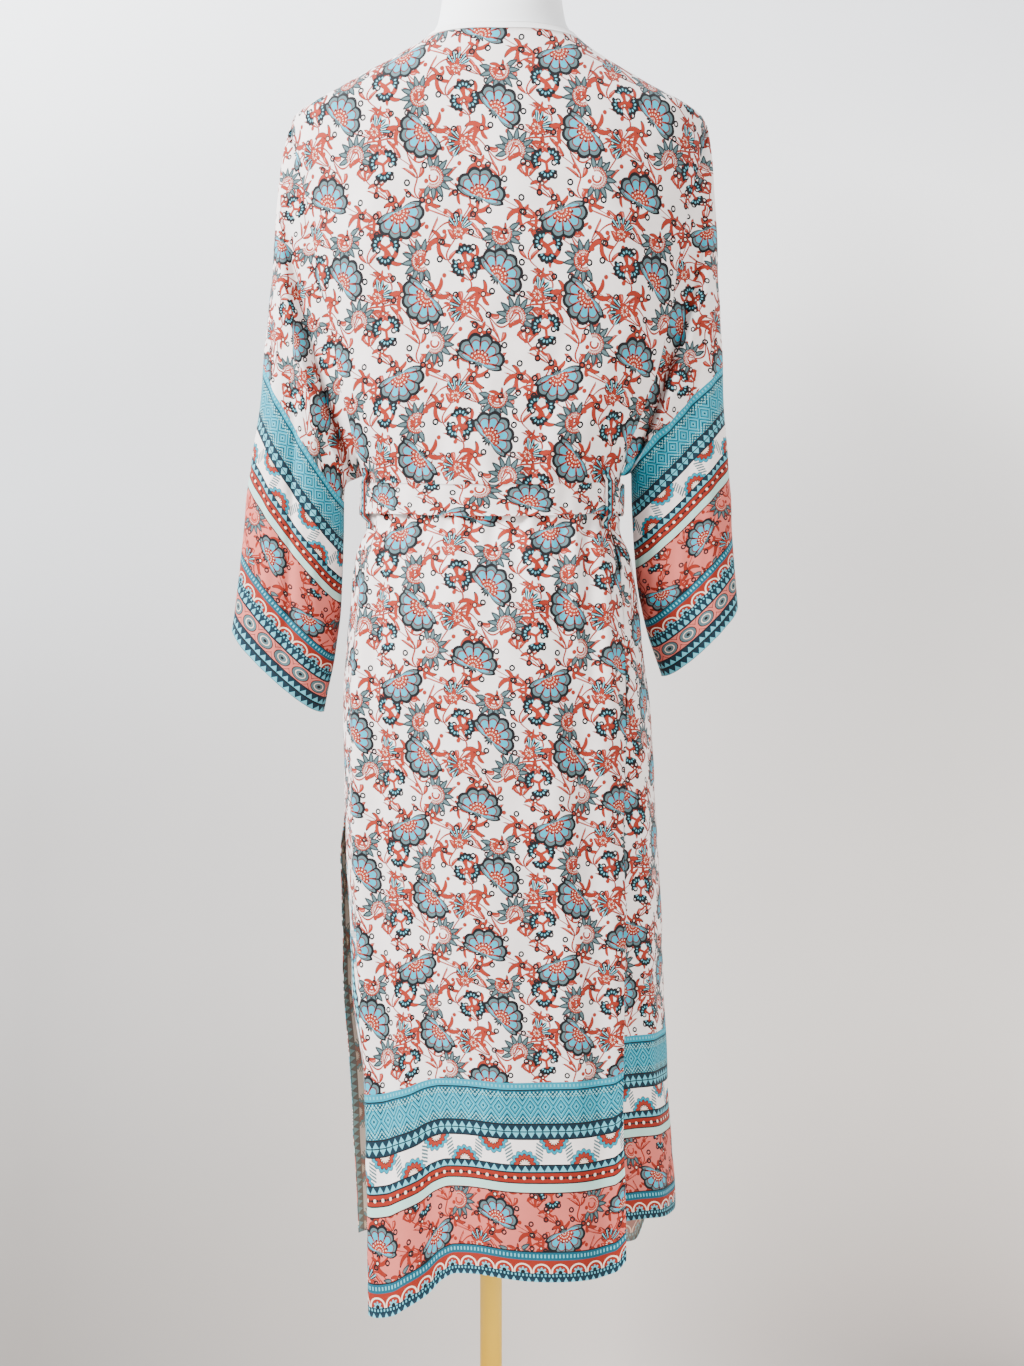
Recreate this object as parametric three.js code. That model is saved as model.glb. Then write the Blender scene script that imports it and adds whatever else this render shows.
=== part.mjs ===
// A long kimono robe in thin woven cloth, worn on a limbless dress form that stands on a pole and a
// round foot. Millimetres, +Z up. The origin is the middle of the foot's underside. The back of the
// robe faces -Y and the wearer's left is at -X.
//
// The robe is lofted through level rings round the body. An angle on a ring is 0 at the +X side,
// 90 at the middle of the back, 180 at the -X side and 270 at the middle of the front; an angle
// past 360 has gone round once. Each sewn panel is a window on those rings, from one angle to
// another and from its top edge to its hem, built as a thin wall.
import * as THREE from "three";

// Driving dimensions of the cloth
const CLOTH = 1.2; // wall of every panel
const SEAM = 0.4; // space between two panels at a seam
const SHOULDER_TIP = 1375; // height of the shoulder points
const UNDERARM = 1024; // height of the bottom of the armholes
const SLIT_TOP = 640; // the side seams are open below this
const SEAM_ANGLE = 0.22; // keeps the same space at the sides, where a degree is about 2.3 mm
const NECKBAND_WIDTH = 7;
const BELT_WIDTH = 30;
const BELT_WALL = 2.4; // two layers of cloth, turned and pressed
const BELT_CLEAR = 3.8; // from the furthest cloth under the belt to the middle of its wall
const TAIL_WALL = 1.6;
const LAP = 5; // how far the right front stands off the left front that it covers

// Driving dimensions of the dress form
const FOOT_RADIUS = 155;
const FOOT_HEIGHT = 14;
const POLE_RADIUS = 11;
const FORM_BOTTOM = 742;
const COLLAR_RADIUS = 27;
const COLLAR_HEIGHT = 12;

// Level rings of the worn cloth: how far it reaches to each side, back and front. power is 2 for an
// ellipse and more for a squarer ring.
const BODY_RINGS = [
  { z: 1474, left: 55, right: 77, back: 64, front: 56, power: 2 },
  { z: 1458, left: 64, right: 87, back: 69, front: 62, power: 2 },
  { z: 1440, left: 92, right: 110, back: 76, front: 69, power: 2 },
  { z: 1410, left: 147, right: 160, back: 86, front: 80, power: 2 },
  { z: 1375, left: 198, right: 214, back: 94, front: 90, power: 2 },
  { z: 1340, left: 198, right: 214, back: 100, front: 99, power: 2.1 },
  { z: 1300, left: 195, right: 211, back: 103, front: 110, power: 2.1 },
  { z: 1250, left: 189, right: 207, back: 103, front: 122, power: 2.1 },
  { z: 1200, left: 182, right: 201, back: 99, front: 128, power: 2.1 },
  { z: 1150, left: 172, right: 189, back: 93, front: 122, power: 2.1 },
  { z: 1100, left: 161, right: 173, back: 88, front: 109, power: 2.1 },
  { z: 1050, left: 139, right: 142, back: 84, front: 97, power: 2.1 },
  { z: 1018, left: 126, right: 128, back: 81, front: 92, power: 2.1 },
  { z: 974, left: 124, right: 127, back: 82, front: 92, power: 2.1 },
  { z: 942, left: 137, right: 138, back: 98, front: 100, power: 2.2 },
  { z: 900, left: 144, right: 145, back: 112, front: 107, power: 2.2 },
  { z: 850, left: 149, right: 151, back: 119, front: 111, power: 2.2 },
  { z: 800, left: 153, right: 157, back: 121, front: 113, power: 2.2 },
  { z: 700, left: 153, right: 164, back: 120, front: 114, power: 2.2 },
  { z: 600, left: 150, right: 169, back: 118, front: 114, power: 2.2 },
  { z: 500, left: 147, right: 172, back: 116, front: 114, power: 2.2 },
  { z: 400, left: 143, right: 177, back: 115, front: 114, power: 2.2 },
  { z: 300, left: 141, right: 184, back: 115, front: 114, power: 2.2 },
  { z: 190, left: 140, right: 188, back: 116, front: 114, power: 2.2 },
];

// The side edges of the panels, in degrees round the rings. Above the shoulder tip they are the
// shoulder seams, then the armholes, then the side seams, and below SLIT_TOP the free slit edges.
const SIDE_EDGES = [
  { z: 1474, backRight: 0, backLeft: 180, frontLeft: 180, frontRight: 360 },
  { z: 1376, backRight: 0, backLeft: 180, frontLeft: 180, frontRight: 360 },
  { z: 1340, backRight: 14, backLeft: 166, frontLeft: 194, frontRight: 346 },
  { z: 1300, backRight: 22, backLeft: 160, frontLeft: 200, frontRight: 338 },
  { z: 1200, backRight: 28, backLeft: 155, frontLeft: 205, frontRight: 332 },
  { z: 1100, backRight: 27, backLeft: 154, frontLeft: 206, frontRight: 333 },
  { z: 1050, backRight: 16, backLeft: 163, frontLeft: 197, frontRight: 345 },
  { z: 1024, backRight: 4, backLeft: 179, frontLeft: 179, frontRight: 364 },
  { z: 985, backRight: 20, backLeft: 180, frontLeft: 180, frontRight: 380 },
  { z: 940, backRight: 27, backLeft: 182, frontLeft: 182, frontRight: 387 },
  { z: 900, backRight: 30, backLeft: 183, frontLeft: 183, frontRight: 390 },
  { z: 800, backRight: 36, backLeft: 184, frontLeft: 184, frontRight: 396 },
  { z: 700, backRight: 41, backLeft: 184, frontLeft: 184, frontRight: 401 },
  { z: 640, backRight: 43, backLeft: 183, frontLeft: 183, frontRight: 403 },
  { z: 590, backRight: 44, backLeft: 181, frontLeft: 185, frontRight: 404 },
  { z: 500, backRight: 47, backLeft: 177, frontLeft: 191, frontRight: 411 },
  { z: 380, backRight: 50, backLeft: 170, frontLeft: 201, frontRight: 415 },
  { z: 190, backRight: 52, backLeft: 163, frontLeft: 207, frontRight: 417 },
];

// The front edges: each front crosses the chest to the far side of the waist and hangs from there.
const FRONT_EDGES = [
  { z: 1474, left: 190, right: 350 },
  { z: 1458, left: 192, right: 348 },
  { z: 1440, left: 203, right: 337 },
  { z: 1410, left: 219, right: 321 },
  { z: 1375, left: 233, right: 307 },
  { z: 1300, left: 256, right: 284 },
  { z: 1200, left: 280, right: 260 },
  { z: 1100, left: 303, right: 238 },
  { z: 1018, left: 320, right: 222 },
  { z: 900, left: 324, right: 221 },
  { z: 500, left: 326, right: 226 },
  { z: 190, left: 328, right: 229 },
];

// Hems: the height of each panel's lower edge by its angle
const BACK_HEM = [
  { angle: 50, z: 270 }, { angle: 56, z: 256 }, { angle: 65, z: 252 }, { angle: 86, z: 254 },
  { angle: 100, z: 259 }, { angle: 108, z: 257 }, { angle: 114, z: 249 }, { angle: 120, z: 234 },
  { angle: 127, z: 222 }, { angle: 133, z: 213 }, { angle: 141, z: 209 }, { angle: 150, z: 212 },
  { angle: 166, z: 220 },
];
const LEFT_FRONT_HEM = [
  { angle: 205, z: 250 }, { angle: 225, z: 246 }, { angle: 270, z: 240 }, { angle: 305, z: 232 },
  { angle: 318, z: 238 }, { angle: 329, z: 276 },
];
const RIGHT_FRONT_HEM = [
  { angle: 228, z: 252 }, { angle: 240, z: 246 }, { angle: 270, z: 254 }, { angle: 300, z: 268 },
  { angle: 330, z: 286 }, { angle: 350, z: 305 }, { angle: 375, z: 299 }, { angle: 420, z: 304 },
];

// Folds that run down the cloth. depth is out from the body, or in where it is negative; each one
// grows from nothing at top to its full depth at full, and keeps it below.
const BACK_FOLDS = [
  { angle: 146, width: 7, depth: 6, top: 985, full: 860 },
  { angle: 134, width: 6, depth: -4, top: 990, full: 900 },
  { angle: 134, width: 10, depth: 9, top: 470, full: 230 },
  { angle: 113, width: 12, depth: -11, top: 560, full: 230 },
  { angle: 84, width: 13, depth: 5, top: 600, full: 260 },
  { angle: 60, width: 7, depth: -5, top: 980, full: 820 },
  { angle: 50, width: 6, depth: 3, top: 980, full: 850 },
  { angle: 30, width: 8, depth: 4, top: 960, full: 760 },
];
const FRONT_FOLDS = [
  { angle: 214, width: 8, depth: 8, top: 980, full: 640 },
  { angle: 230, width: 8, depth: -7, top: 980, full: 560 },
  { angle: 246, width: 9, depth: 7, top: 975, full: 520 },
  { angle: 266, width: 9, depth: -8, top: 975, full: 500 },
  { angle: 286, width: 10, depth: 8, top: 980, full: 560 },
  { angle: 305, width: 8, depth: -7, top: 980, full: 640 },
  { angle: 338, width: 9, depth: 5, top: 900, full: 420 },
];
const TUCK = { angle: 142, width: 9 }; // the back's left edge turns in past this angle
const TUCK_DEPTH = [
  { z: 1020, depth: 0 }, { z: 900, depth: 5 }, { z: 640, depth: 8 }, { z: 520, depth: 10 },
  { z: 440, depth: 17 }, { z: 370, depth: 28 }, { z: 190, depth: 33 },
];
const LEFT_FLARE = { reach: 21, depth: 13, top: 640, full: 300 }; // the left front stands open here

// Sleeves: level by level from the armhole to the cuff, where the outer edge and the inner edge of
// the flattened tube are, how far the tube bulges to the back and front, and its middle.
const LEFT_SLEEVE = [
  { outerX: -199, outerZ: 1375, innerX: -129, innerZ: 1024, bulge: 42, middleY: 0 },
  { outerX: -207, outerZ: 1328, innerX: -134, innerZ: 1022, bulge: 44, middleY: 1 },
  { outerX: -213, outerZ: 1262, innerX: -139, innerZ: 1020, bulge: 45, middleY: 2 },
  { outerX: -220, outerZ: 1188, innerX: -143, innerZ: 1018, bulge: 43, middleY: 4 },
  { outerX: -228, outerZ: 1112, innerX: -146, innerZ: 1012, bulge: 40, middleY: 5 },
  { outerX: -241, outerZ: 1020, innerX: -148, innerZ: 942, bulge: 38, middleY: 6 },
  { outerX: -250, outerZ: 945, innerX: -153, innerZ: 866, bulge: 36, middleY: 6 },
  { outerX: -259, outerZ: 872, innerX: -168, innerZ: 790, bulge: 34, middleY: 6 },
];
const RIGHT_SLEEVE = [
  { outerX: 215, outerZ: 1375, innerX: 130, innerZ: 1024, bulge: 42, middleY: 0 },
  { outerX: 219, outerZ: 1328, innerX: 136, innerZ: 1026, bulge: 44, middleY: 4 },
  { outerX: 224, outerZ: 1262, innerX: 138, innerZ: 1030, bulge: 45, middleY: 9 },
  { outerX: 228, outerZ: 1190, innerX: 139, innerZ: 1034, bulge: 43, middleY: 14 },
  { outerX: 232, outerZ: 1120, innerX: 140, innerZ: 1034, bulge: 40, middleY: 18 },
  { outerX: 238, outerZ: 1040, innerX: 143, innerZ: 968, bulge: 38, middleY: 22 },
  { outerX: 243, outerZ: 965, innerX: 151, innerZ: 894, bulge: 36, middleY: 22 },
  { outerX: 249, outerZ: 896, innerX: 172, innerZ: 826, bulge: 34, middleY: 20 },
];
const SLEEVE_GROOVE = { at: 0.14, width: 0.07, depth: 20 }; // valley beside the armhole
const SLEEVE_CREST = { at: 0.3, width: 0.12, depth: 7 };
const SLEEVE_BOW = 15; // the sleeve's faces stand out from the armhole before they hang
const CUFF_SAG = 12; // the cuff's back and front hang lower than its folded edges

// How far the dress form stays inside the cloth, to the sides and to back and front
const FORM_INSET = [
  { z: 1474, side: 2, depth: 1.5 },
  { z: 1440, side: 4, depth: 1.8 },
  { z: 1410, side: 6, depth: 2.2 },
  { z: 1375, side: 14, depth: 4 },
  { z: 1340, side: 24, depth: 5 },
  { z: 1300, side: 36, depth: 7 },
  { z: 1200, side: 40, depth: 7 },
  { z: 1100, side: 32, depth: 6 },
  { z: 1050, side: 17, depth: 6 },
  { z: 1000, side: 11, depth: 6 },
  { z: 950, side: 12, depth: 10 },
  { z: 850, side: 13, depth: 14 },
  { z: 740, side: 20, depth: 20 },
];
const FORM_LEVELS = [
  742, 760, 800, 850, 900, 950, 985, 1018, 1060, 1110, 1160, 1210, 1260, 1300, 1335, 1360, 1382,
  1400, 1418, 1436, 1450, 1460,
];
// The form's neck, and the rounded cap that closes it
const NECK_RINGS = [
  { z: 1472, x: 11, y: -2, radius: 64.5 },
  { z: 1488, x: 11, y: 1, radius: 61.5 },
  { z: 1510, x: 11, y: 4, radius: 59 },
  { z: 1532, x: 11, y: 7, radius: 59.5 },
  { z: 1541, x: 11, y: 7, radius: 55.335 },
  { z: 1546, x: 11, y: 7, radius: 44.625 },
  { z: 1548, x: 11, y: 7, radius: 23.8 },
];

const radians = THREE.MathUtils.degToRad;
const lerp = THREE.MathUtils.lerp;
const smoothstep = (x, low, high) => THREE.MathUtils.smoothstep(x, Math.min(low, high), Math.max(low, high));

// A smooth function through one column of a table, by another column that rises or falls steadily.
function track(rows, by, column) {
  const ordered = [...rows].sort((a, b) => a[by] - b[by]);
  const at = ordered.map((row) => row[by]);
  const value = ordered.map((row) => row[column]);
  const last = at.length - 1;
  const slope = at.map((_, i) => {
    if (i === 0 || i === last) return 0;
    const before = (value[i] - value[i - 1]) / (at[i] - at[i - 1]);
    const after = (value[i + 1] - value[i]) / (at[i + 1] - at[i]);
    return before * after <= 0 ? 0 : (2 * before * after) / (before + after);
  });
  return (x) => {
    if (x <= at[0]) return value[0];
    if (x >= at[last]) return value[last];
    const i = at.findIndex((edge) => edge > x) - 1;
    const span = at[i + 1] - at[i];
    const t = (x - at[i]) / span;
    const rise = t * t * (3 - 2 * t);
    return (
      value[i] + (value[i + 1] - value[i]) * rise +
      span * (slope[i] * t * (1 - t) * (1 - t) - slope[i + 1] * t * t * (1 - t))
    );
  };
}

const ring = Object.fromEntries(
  ["left", "right", "back", "front", "power"].map((name) => [name, track(BODY_RINGS, "z", name)]),
);
const backRight = track(SIDE_EDGES, "z", "backRight");
const backLeft = track(SIDE_EDGES, "z", "backLeft");
const frontLeft = track(SIDE_EDGES, "z", "frontLeft");
const frontRight = track(SIDE_EDGES, "z", "frontRight");
const sewn = (z) => z <= UNDERARM && z >= SLIT_TOP;
const side = {
  backRight,
  backLeft,
  frontLeft: (z) => (sewn(z) ? backLeft(z) : frontLeft(z)),
  frontRight: (z) => (sewn(z) ? backRight(z) + 360 : frontRight(z)),
};
const frontEdge = { left: track(FRONT_EDGES, "z", "left"), right: track(FRONT_EDGES, "z", "right") };
const tuckDepth = track(TUCK_DEPTH, "z", "depth");

// The sum of a table's folds at an angle and height.
function folds(rows, angle, z) {
  return rows.reduce((sum, fold) => {
    const away = (angle - fold.angle) / fold.width;
    const grown = 1 - smoothstep(z, fold.full, fold.top);
    return sum + fold.depth * grown * Math.exp(-away * away);
  }, 0);
}

// A point on the ring at height z, moved out from the body by out.
function bodyPoint(angle, z, out = 0, insetSide = 0, insetDepth = 0) {
  const c = Math.cos(radians(angle));
  const s = Math.sin(radians(angle));
  const middle = (ring.right(z) - ring.left(z)) / 2;
  const half = (ring.right(z) + ring.left(z)) / 2 - insetSide;
  const depth = (s > 0 ? ring.back(z) : ring.front(z)) - insetDepth;
  const bend = 2 / ring.power(z);
  const x = half * Math.sign(c) * Math.abs(c) ** bend;
  const y = -depth * Math.sign(s) * Math.abs(s) ** bend;
  const normal = new THREE.Vector2(x / (half * half), y / (depth * depth)).normalize();
  return new THREE.Vector3(middle + x + normal.x * out, y + normal.y * out, z);
}

// How far each panel stands out from the plain rings.
function backOut(angle, z) {
  const turned = smoothstep(angle, TUCK.angle, TUCK.angle + TUCK.width * 2);
  const overFront = 2.5 * (1 - smoothstep(z, SLIT_TOP - 45, SLIT_TOP)) * (1 - smoothstep(angle, 60, 80));
  return folds(BACK_FOLDS, angle, z) - tuckDepth(z) * turned + overFront;
}
function leftFrontOut(angle, z) {
  const open = 1 - smoothstep(z, LEFT_FLARE.full, LEFT_FLARE.top);
  const nearEdge = 1 - smoothstep(angle, side.frontLeft(z), side.frontLeft(z) + LEFT_FLARE.reach);
  const joined = smoothstep(z, SLIT_TOP, SLIT_TOP + 60) * (1 - smoothstep(angle, 182, 196));
  const joinedOut = folds(BACK_FOLDS, side.backLeft(z), z) - tuckDepth(z);
  return (
    folds(FRONT_FOLDS, angle, z) * smoothstep(angle, 196, 216) +
    LEFT_FLARE.depth * open * nearEdge + joined * joinedOut
  );
}
function rightFrontOut(angle, z) {
  const covering = 1 - smoothstep(angle, 325, 350);
  const under = 1 - smoothstep(z, SLIT_TOP - 45, SLIT_TOP);
  const behind = smoothstep(angle, side.backRight(z) + 340, side.backRight(z) + 362);
  return (
    folds(FRONT_FOLDS, angle, z) * (1 - smoothstep(angle, 345, 365)) +
    folds(BACK_FOLDS, angle - 360, z) * smoothstep(angle, 365, 385) +
    LAP * covering - 2.5 * under * behind
  );
}

// A closed wall round a grid of middle points: rows run down the cloth and columns across it. When
// closed, the last column joins the first and the wall is a tube.
function wallOf(grid, wall, closed = false) {
  const rows = grid.length;
  const columns = grid[0].length;
  const wrap = (j) => (closed ? (j + columns) % columns : THREE.MathUtils.clamp(j, 0, columns - 1));
  const hold = (i) => THREE.MathUtils.clamp(i, 0, rows - 1);
  const positions = [];
  for (const sign of [0.5, -0.5]) {
    for (let i = 0; i < rows; i++) {
      for (let j = 0; j < columns; j++) {
        const across = grid[i][wrap(j + 1)].clone().sub(grid[i][wrap(j - 1)]);
        const down = grid[hold(i + 1)][j].clone().sub(grid[hold(i - 1)][j]);
        const normal = down.cross(across).normalize();
        positions.push(...grid[i][j].clone().addScaledVector(normal, sign * wall).toArray());
      }
    }
  }
  const layer = rows * columns;
  const outer = (i, j) => i * columns + wrap(j);
  const inner = (i, j) => layer + i * columns + wrap(j);
  const faces = [];
  const quad = (a, b, c, d) => faces.push(a, b, c, a, c, d);
  const spans = closed ? columns : columns - 1;
  for (let j = 0; j < spans; j++) {
    for (let i = 0; i < rows - 1; i++) {
      quad(outer(i, j), outer(i + 1, j), outer(i + 1, j + 1), outer(i, j + 1));
      quad(inner(i, j), inner(i, j + 1), inner(i + 1, j + 1), inner(i + 1, j));
    }
    quad(outer(0, j), outer(0, j + 1), inner(0, j + 1), inner(0, j));
    quad(outer(rows - 1, j), inner(rows - 1, j), inner(rows - 1, j + 1), outer(rows - 1, j + 1));
  }
  if (!closed) {
    for (let i = 0; i < rows - 1; i++) {
      quad(outer(i, 0), inner(i, 0), inner(i + 1, 0), outer(i + 1, 0));
      quad(outer(i, spans), outer(i + 1, spans), inner(i + 1, spans), inner(i, spans));
    }
  }
  const geometry = new THREE.BufferGeometry();
  geometry.setAttribute("position", new THREE.Float32BufferAttribute(positions, 3));
  geometry.setIndex(faces);
  return geometry;
}

// The heights of the rows of points on every panel, closer together at the shoulder and the waist.
// The rows above LEVEL_TOP are spread up to the panel's top edge, and those below LEVEL_LOW down to
// its hem.
const LEVELS = [
  1451, 1440, 1426, 1410, 1393, 1375, 1345, 1305, 1260, 1215, 1170, 1130, 1095, 1065, 1042, 1024,
  1012, 998, 985, 974, 958, 942, 920, 892, 860, 820, 770, 710, 640, 580, 510, 430, 350, 300, 250,
];
const LEVEL_TOP = 1410;
const LEVEL_LOW = 640;
// The top edge of the neckband, a little higher at the sides of the neck
const neckHeight = (angle) => 1455 + 4 * Math.abs(Math.cos(radians(angle)));

function rowHeight(level, top, hem) {
  if (level > LEVEL_TOP) return lerp(LEVEL_TOP, top, (level - LEVEL_TOP) / (LEVELS[0] - LEVEL_TOP));
  if (level < LEVEL_LOW) return lerp(hem, LEVEL_LOW, (level - LEVELS.at(-1)) / (LEVEL_LOW - LEVELS.at(-1)));
  return level;
}

// The rows and columns of points of one panel. edges gives the angles of its two side edges at a
// height, and hem and top the heights of its lower and upper edge at an angle.
function panel({ columns, edges, top, hem, out, spread = (u) => u }) {
  return LEVELS.map((level) =>
    Array.from({ length: columns + 1 }, (_, j) => {
      const u = spread(j / columns);
      const [lowFrom, lowTo] = edges(LEVELS.at(-1));
      const [topFrom, topTo] = edges(LEVELS[0]);
      const topZ = top(lerp(topFrom, topTo, u)) - NECKBAND_WIDTH;
      const z = rowHeight(level, topZ, hem(lerp(lowFrom, lowTo, u)));
      const [from, to] = edges(z);
      const angle = lerp(from, to, u);
      return bodyPoint(angle, z, out(angle, z));
    }),
  );
}

// The back is one piece. Its columns are closer together where it tucks in at the left.
function backPanel() {
  const hem = track(BACK_HEM, "angle", "z");
  return wallOf(
    panel({
      columns: 34,
      edges: (z) => [side.backRight(z) + SEAM_ANGLE, side.backLeft(z) - SEAM_ANGLE],
      top: neckHeight,
      hem,
      out: backOut,
      spread: (u) => u - 0.06 * Math.sin(2 * Math.PI * u) * (u > 0.5 ? 1 : 0.3),
    }),
    CLOTH,
  );
}

// The two fronts cross the chest, the right one over the left one.
function frontPanel(which) {
  const left = which === "left";
  const hem = track(left ? LEFT_FRONT_HEM : RIGHT_FRONT_HEM, "angle", "z");
  const sideAt = left ? side.frontLeft : side.frontRight;
  return wallOf(
    panel({
      columns: left ? 20 : 22,
      edges: (z) =>
        left
          ? [sideAt(z) + SEAM_ANGLE, frontEdge.left(z)]
          : [frontEdge.right(z), sideAt(z) - SEAM_ANGLE],
      top: () => 1458,
      hem,
      out: left ? leftFrontOut : rightFrontOut,
    }),
    CLOTH,
  );
}

// One sleeve, a tube from the armhole to the open cuff. mirror is 1 for +X and -1 for -X.
function sleeve(rowsTable, mirror) {
  const stations = rowsTable.map((row, i) => ({ ...row, t: i / (rowsTable.length - 1) }));
  const col = Object.fromEntries(
    ["outerX", "outerZ", "innerX", "innerZ", "bulge", "middleY"].map((n) => [n, track(stations, "t", n)]),
  );
  const around = 24;
  const along = 15;
  const grid = [];
  for (let i = 0; i <= along; i++) {
    const t = i / along;
    const row = [];
    for (let j = 0; j < around; j++) {
      const phi = (2 * Math.PI * j) / around;
      const c = Math.cos(phi);
      const s = Math.sin(phi);
      const bow = mirror * SLEEVE_BOW * Math.abs(s) * (1 - t);
      const x = lerp(col.innerX(t), col.outerX(t), (1 + c) / 2) + bow;
      const z = lerp(col.innerZ(t), col.outerZ(t), (1 + c) / 2);
      const low = (1 - c) / 2;
      const groove = s > 0 ? Math.exp(-(((t - SLEEVE_GROOVE.at) / SLEEVE_GROOVE.width) ** 2)) : 0;
      const crest = Math.exp(-(((t - SLEEVE_CREST.at) / SLEEVE_CREST.width) ** 2));
      const bulge =
        col.bulge(t) * Math.abs(s) ** 0.9 +
        low * Math.abs(s) * (SLEEVE_CREST.depth * crest - SLEEVE_GROOVE.depth * groove);
      const free = new THREE.Vector3(
        x,
        col.middleY(t) - Math.sign(s) * bulge,
        z - CUFF_SAG * Math.abs(s) * t,
      );
      const joined = armholePoint(mirror, s >= 0, lerp(UNDERARM, SHOULDER_TIP, (1 + c) / 2));
      row.push(joined.lerp(free, smoothstep(t, -0.04, 0.12)));
    }
    grid.push(mirror > 0 ? row : row.reverse());
  }
  return wallOf(grid, CLOTH, true);
}

// A point of the armhole's edge, just outside the panels.
function armholePoint(mirror, back, z) {
  const name = (back ? "back" : "front") + (mirror > 0 ? "Right" : "Left");
  const angle = side[name](z);
  const out = back ? backOut(angle, z) : mirror > 0 ? rightFrontOut(angle, z) : leftFrontOut(angle, z);
  const p = bodyPoint(angle, z, out);
  p.x += mirror * 1.5;
  return p;
}

// The cloth the belt is tied round: the outermost panel at an angle.
function wornOut(angle, z) {
  const back = angle > side.backRight(z) && angle < side.backLeft(z);
  const right = angle > frontEdge.right(z) - 7 || angle < side.backRight(z);
  if (back) return backOut(angle, z);
  if (right) return rightFrontOut(angle > 180 ? angle : angle + 360, z);
  return leftFrontOut(angle, z);
}

// The belt dips a little at the middle of the back.
const beltHeight = (angle) => 1000 - 8 * Math.max(Math.sin(radians(angle)), 0) ** 2;

// A point at an angle round the waist, off the belt's middle height by rise and clear of the cloth
// between those heights by clear.
function beltPoint(angle, rise, clear) {
  const middle = beltHeight(angle);
  const reach = [-18, -12, -6, 0, 6, 12, 18].map((step) => {
    const p = bodyPoint(angle, middle + step, Math.max(wornOut(angle, middle + step), -1));
    return Math.hypot(p.x, p.y);
  });
  const p = bodyPoint(angle, middle, 0).setZ(0);
  return p.setLength(Math.max(...reach) + clear).setZ(middle + rise);
}

// The belt is one level ring, three rows high, clear of all that it is tied round.
function belt() {
  const around = 60;
  const angles = Array.from({ length: around }, (_, j) => (360 * j) / around);
  return wallOf(
    [0.5, 0, -0.5].map((share) => angles.map((a) => beltPoint(a, share * BELT_WIDTH, BELT_CLEAR))),
    BELT_WALL,
    true,
  );
}

// A strip sewn to the side seam above and below the belt, which holds the belt up.
function beltLoop(from, to) {
  const onCloth = (angle, rise) => {
    const z = beltHeight(angle) + rise;
    return bodyPoint(angle, z, wornOut(angle, z) + 3);
  };
  const overBelt = (angle, rise) => beltPoint(angle, rise, BELT_CLEAR + 2.5);
  const rises = [30, 24, 17, 0, -17, -24, -30];
  return wallOf(
    rises.map((rise) =>
      [0, 0.5, 1].map((u) => (Math.abs(rise) > 20 ? onCloth : overBelt)(lerp(from, to, u), rise)),
    ),
    CLOTH,
  );
}

// One hanging end of the belt, in front of the right front.
function beltTail(from, to, low) {
  const rows = 14;
  return wallOf(
    Array.from({ length: rows + 1 }, (_, i) => {
      const z = lerp(971, low, i / rows);
      const drift = 3 * (i / rows);
      return [0, 0.5, 1].map((u) => {
        const angle = lerp(from, to, u) + drift;
        const swing = 1.2 * Math.sin(i * 0.9) * (i / rows);
        return bodyPoint(angle, z, rightFrontOut(angle, z) + 2.3 + 2 * (i / rows) + swing);
      });
    }),
    TAIL_WALL,
  );
}

// The square knot in front, as one rounded lump.
function knot() {
  const at = beltPoint(270, 0, BELT_CLEAR + BELT_WALL / 2 + 0.4);
  return new THREE.SphereGeometry(1, 20, 14)
    .scale(24, 9, 25)
    .translate(at.x, at.y + 9.2, at.z);
}

// The narrow band that binds the left front edge, the neck and the right front edge in one run.
function neckband() {
  const stations = [];
  const top = 1458 - NECKBAND_WIDTH;
  const corner = (z) => smoothstep(z, top - 34, top);
  const bandStep = (z) => (NECKBAND_WIDTH / (ring.front(z) * 0.9)) * THREE.MathUtils.RAD2DEG;
  const onFront = (left, z) => {
    const edge = left ? frontEdge.left(z) : frontEdge.right(z);
    const out = left ? leftFrontOut : rightFrontOut;
    const turn = (Math.PI / 2) * corner(z);
    const sign = left ? 1 : -1;
    const at = (w) => {
      const angle = edge + sign * bandStep(z) * (w / NECKBAND_WIDTH) * Math.cos(turn);
      const height = z + w * Math.sin(turn);
      return bodyPoint(angle, height, out(angle, height));
    };
    return [at(SEAM + 1), at(NECKBAND_WIDTH + 1)];
  };
  const frontRows = 44;
  const hemLeft = track(LEFT_FRONT_HEM, "angle", "z")(328);
  const hemRight = track(RIGHT_FRONT_HEM, "angle", "z")(229);
  for (let i = 0; i <= frontRows; i++) stations.push(onFront(true, lerp(hemLeft, top, i / frontRows)));
  const from = frontEdge.left(top) - 2;
  const to = frontEdge.right(top) - 358;
  const neckRows = 40;
  for (let i = 0; i <= neckRows; i++) {
    const angle = lerp(from, to, i / neckRows);
    const base = neckHeight(angle) - NECKBAND_WIDTH;
    stations.push([SEAM, NECKBAND_WIDTH].map((w) => bodyPoint(angle, base + w, 0)));
  }
  for (let i = frontRows; i >= 0; i--) stations.push(onFront(false, lerp(hemRight, top, i / frontRows)));
  return wallOf(stations, CLOTH);
}

// The form's torso is the worn rings made smaller, with a neck and a rounded cap.
function dressForm() {
  const insetSide = track(FORM_INSET, "z", "side");
  const insetDepth = track(FORM_INSET, "z", "depth");
  const around = 40;
  const angles = Array.from({ length: around }, (_, j) => (360 * j) / around);
  const rings = FORM_LEVELS.map((z) => angles.map((a) => bodyPoint(a, z, 0, insetSide(z), insetDepth(z))));
  for (const { x, y, z, radius } of NECK_RINGS) {
    rings.push(
      angles.map((a) => {
        const turn = radians(a);
        return new THREE.Vector3(x + radius * Math.cos(turn), y - radius * Math.sin(turn), z);
      }),
    );
  }
  return closedLoft(rings);
}

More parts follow.
